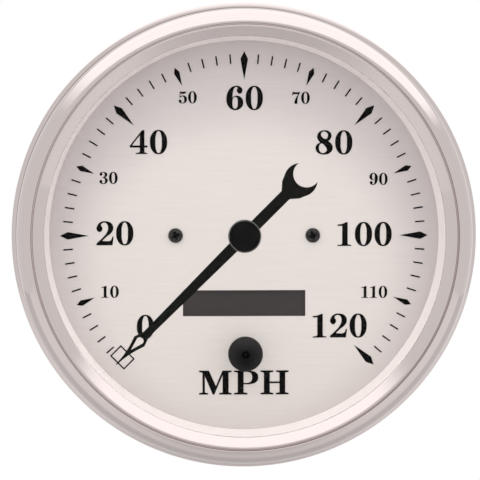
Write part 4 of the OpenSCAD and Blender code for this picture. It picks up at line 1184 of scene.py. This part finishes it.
@dataclass
class Terminals:
    """The five blade terminals and the two rivets of their block."""

    y: float = -25.0
    pitch: float = 6.0
    count: int = 5
    width: float = 6.35
    thick: float = 0.8
    tip_z: float = -67.0
    tip_chamfer: float = 1.1
    edge: float = 0.12
    hole_r: float = 0.85
    hole_at: float = 3.2
    neck_z: float = -48.0
    pin_w: float = 1.2
    pin_z: float = -28.6
    rivet_x: float = 18.6
    rivet_r: float = 1.2
    rivet_head_r: float = 2.2
    rivet_head_h: float = 1.0
    rivet_rim: float = 0.3
    block_z: float = -59.0
    wall_z: float = -56.0

    def blade(self) -> list[Loop]:
        """Draws a terminal.

        Returns:
            Its outline and its hole, across and along it.
        """
        wide, pin, chamfer = self.width / 2, self.pin_w / 2, self.tip_chamfer
        side = [(wide - chamfer, self.tip_z), (wide, self.tip_z + chamfer), (wide, self.neck_z),
                (pin, self.neck_z), (pin, self.pin_z)]
        return [side + [(-across, along) for across, along in reversed(side)],
                circle((0, self.tip_z + self.hole_at), self.hole_r, steps=24)]

    def rivet(self) -> Loop:
        """Draws the section of a rivet.

        Returns:
            Radius and z from the domed head outside to the flat one inside.
        """
        rim_z, dome_h = self.block_z - self.rivet_rim, self.rivet_rim - self.rivet_head_h
        dome = [(self.rivet_head_r * across, rim_z + dome_h * up)
                for across, up in arc((0, 0), 1, 90, 0, steps=8)]
        inner_z = self.wall_z + self.rivet_head_h
        return [*dome, (self.rivet_head_r, self.block_z), (self.rivet_r, self.block_z),
                (self.rivet_r, self.wall_z), (self.rivet_head_r, self.wall_z),
                (self.rivet_head_r, inner_z), (0, inner_z)]

    def build(self) -> None:
        """Makes the terminals and the rivets."""
        tabs, rivets = bmesh.new(), bmesh.new()
        upright = Matrix(((0, 0, 1), (1, 0, 0), (0, 1, 0))).to_4x4()
        for i in range(self.count):
            tab = bmesh.new()
            plate(tab, self.blade(), -self.thick / 2, self.thick / 2, self.edge)
            x = (i - (self.count - 1) / 2) * self.pitch
            tab.transform(Matrix.Translation((x, self.y, 0)) @ upright)
            # The blades are closed one by one, so that points of two blades are never welded
            mesh = finished_mesh(tab, "tab")
            tabs.from_mesh(mesh)
            bpy.data.meshes.remove(mesh)
        for x in (-self.rivet_x, self.rivet_x):
            lathe(rivets, self.rivet(), (x, self.y), turns=48)
        add_piece("blade_terminals", tabs, "tab_brass", ("terminal_tabs",))
        add_piece("domed_rivets", rivets, "zinc_steel", ("terminal_rivets",))


@dataclass
class RearMouldings:
    """The moulded solids at the rear, shown as they are with their sharp edges broken."""

    nodes: tuple[str, ...] = ("left_lamp_socket", "right_lamp_socket", "terminal_block")
    edge: float = 0.3
    steps: int = 2

    def build(self) -> None:
        """Breaks the edges."""
        for name in self.nodes:
            bevel = frame["nodes"][name].modifiers.new("broken edges", "BEVEL")
            bevel.width, bevel.segments = self.edge * MM, self.steps
            bevel.limit_method, bevel.angle_limit = "ANGLE", SHARP


@dataclass
class Solids:
    """The solids of the frame, each with the finish of its material slot."""

    rows: list[dict] = field(default_factory=lambda: frame["record"]["subparts"])

    def build(self) -> None:
        """Dresses every solid."""
        for row in self.rows:
            finish = FINISHES[row["material_slot"]]
            materials = frame["nodes"][row["node"]].data.materials
            materials.clear()
            materials.append(finish.material())
            LOG.info("%s: %s", row["node"], finish.title)


@dataclass
class Studio:
    """A pale floor, a soft overhead light, a white surround and the camera, in metres."""

    floor_z: float = -0.16
    floor_side: float = 1.0
    floor_colour: str = "BEBEBE"
    floor_glow: float = 0.3
    floor_shine: float = 0.27
    floor_front: tuple[float, float] = (0.0, -0.06)
    dim_at: Point = (0.0, -0.14)
    dim_r: tuple[float, float] = (0.03, 0.13)
    sky: float = 1.26
    light_at: Triple = (0.165, -0.03, 0.6)
    light_size: tuple[float, float] = (2.3, 1.5)
    light_fade: tuple[float, float] = (0.2, 0.15)
    light_radiance: float = 0.78
    azimuth: float = -2.0
    elevation: float = 3.5
    distance: float = 0.9
    lens: float = 229.6
    sensor: float = 36.0
    target: Triple = (-0.00126, -0.001, -0.0013)

    def seen(self, tree: bpy.types.NodeTree) -> bpy.types.Node:
        """Adds the test for the camera, a mirror or glass looking at a surface.

        Args:
            tree: The node tree that gets it.

        Returns:
            The node that gives 1 for such a look and 0 for light on a matt surface.
        """
        path = add(tree, "ShaderNodeLightPath").outputs
        first = add(tree, "ShaderNodeMath", {0: path["Is Camera Ray"], 1: path["Is Glossy Ray"]},
                    operation="MAXIMUM")
        return add(tree, "ShaderNodeMath", {0: first, 1: path["Is Transmission Ray"]},
                   operation="MAXIMUM")

    def floor_level(self, tree: bpy.types.NodeTree) -> bpy.types.Node:
        """Adds what the floor gives off of its own: white to the camera, grey to a mirror.

        Args:
            tree: The floor's node tree.

        Returns:
            The node with the strength, which for a mirror is 0 behind the object and falls off
            round a spot before it.
        """
        path = add(tree, "ShaderNodeLightPath").outputs
        place = add(tree, "ShaderNodeTexCoord").outputs["Object"]
        along = add(tree, "ShaderNodeSeparateXYZ", {0: place}).outputs["Y"]
        # What a mirror sees of the floor is painted light: a glow left out behind the object as a
        # painted shadow of it, and dimmed round a spot before it as a painted darker reflection
        front = add(tree, "ShaderNodeMapRange", {
            "Value": along, "From Min": self.floor_front[0], "From Max": self.floor_front[1],
            "To Max": self.floor_shine})
        away = add(tree, "ShaderNodeVectorMath", {0: place, 1: (*self.dim_at, self.floor_z)},
                   operation="DISTANCE")
        clear = add(tree, "ShaderNodeMapRange", {
            "Value": away, "From Min": self.dim_r[0], "From Max": self.dim_r[1]},
            interpolation_type="SMOOTHSTEP")
        lit = add(tree, "ShaderNodeMath", {0: front, 1: clear}, operation="MULTIPLY")
        mirrored = add(tree, "ShaderNodeMath", {0: path["Is Glossy Ray"], 1: lit},
                       operation="MULTIPLY")
        return add(tree, "ShaderNodeMath", {
            0: path["Is Camera Ray"], 1: self.floor_glow, 2: mirrored}, operation="MULTIPLY_ADD")

    def make_floor(self) -> None:
        """Makes the floor, which shows white and keeps the object's shadow."""
        half = self.floor_side / 2
        corners = [(x * half, y * half, self.floor_z)
                   for x, y in ((-1, -1), (1, -1), (1, 1), (-1, 1))]
        mesh = bpy.data.meshes.new("floor")
        mesh.from_pydata(corners, [], [(0, 1, 2, 3)])
        paper = bpy.data.materials.new("pale floor")
        tree = empty_tree(paper)
        matt = add(tree, "ShaderNodeBsdfDiffuse", {"Color": linear(self.floor_colour)})
        glow = add(tree, "ShaderNodeEmission", {"Strength": self.floor_level(tree)})
        both = add(tree, "ShaderNodeAddShader", {0: matt, 1: glow})
        add(tree, "ShaderNodeOutputMaterial", {"Surface": both})
        mesh.materials.append(paper)
        floor = add_object("floor", mesh)

    def make_surround(self) -> None:
        """Makes the surround, which lights at its own strength and shows as plain white."""
        world = bpy.data.worlds.new("studio")
        tree = empty_tree(world)
        lit, white = [add(tree, "ShaderNodeBackground", {
            "Strength": strength, "Color": (1, 1, 1, 1)}) for strength in (self.sky, 1.0)]
        mixed = add(tree, "ShaderNodeMixShader", {0: self.seen(tree), 1: lit, 2: white})
        add(tree, "ShaderNodeOutputWorld", {"Surface": mixed})
        bpy.context.scene.world = world

    def make_light(self) -> None:
        """Makes the overhead light, which falls off towards its edges as a soft box does."""
        lamp = bpy.data.lights.new("overhead", "AREA")
        lamp.shape = "RECTANGLE"
        lamp.size, lamp.size_y = self.light_size
        lamp.energy = self.light_radiance * math.pi * lamp.size * lamp.size_y
        tree = empty_tree(lamp)
        place = add(tree, "ShaderNodeNewGeometry").outputs["Parametric"]
        across = add(tree, "ShaderNodeSeparateXYZ", {0: place}).outputs
        # A place on the light runs from 0 at one edge to 1 at the other
        middle, levels = 0.5, []
        for axis, fade in zip("XY", self.light_fade):
            off = add(tree, "ShaderNodeMath", {0: across[axis], 1: middle}, operation="SUBTRACT")
            size = add(tree, "ShaderNodeMath", {0: off}, operation="ABSOLUTE")
            levels.append(add(tree, "ShaderNodeMapRange", {
                "Value": size, "From Min": middle, "From Max": middle - fade},
                interpolation_type="SMOOTHSTEP"))
        level = add(tree, "ShaderNodeMath", {0: levels[0], 1: levels[1]}, operation="MULTIPLY")
        glow = add(tree, "ShaderNodeEmission", {"Strength": level})
        add(tree, "ShaderNodeOutputLight", {"Surface": glow})
        add_object("overhead", lamp).location = self.light_at

    def make_camera(self) -> None:
        """Makes the camera at the photograph's angle."""
        a, e = math.radians(self.azimuth), math.radians(self.elevation)
        back = Vector((math.sin(a) * math.cos(e), -math.cos(a) * math.cos(e), math.sin(e)))
        data = bpy.data.cameras.new("camera")
        data.lens, data.sensor_width = self.lens, self.sensor
        camera = add_object("camera", data)
        camera.location = Vector(self.target) + back * self.distance
        camera.rotation_euler = (-back).to_track_quat("-Z", "Y").to_euler()
        bpy.context.scene.camera = camera

    def build(self) -> None:
        """Sets up the studio."""
        self.make_floor()
        self.make_surround()
        self.make_light()
        self.make_camera()
        bpy.context.scene.view_settings.view_transform = "Standard"


def main() -> None:
    """Builds the pieces, dresses the solids and sets up the studio."""
    logging.basicConfig(level=logging.INFO, format="%(name)s: %(message)s")
    for assembly in (Studio(), Solids(), RearMouldings(), Bezel(), DialPrint(), Pointer(),
                     TripButton(), DialScrews(), MountingStuds(), Terminals()):
        assembly.build()


if __name__ == "__main__":
    main()
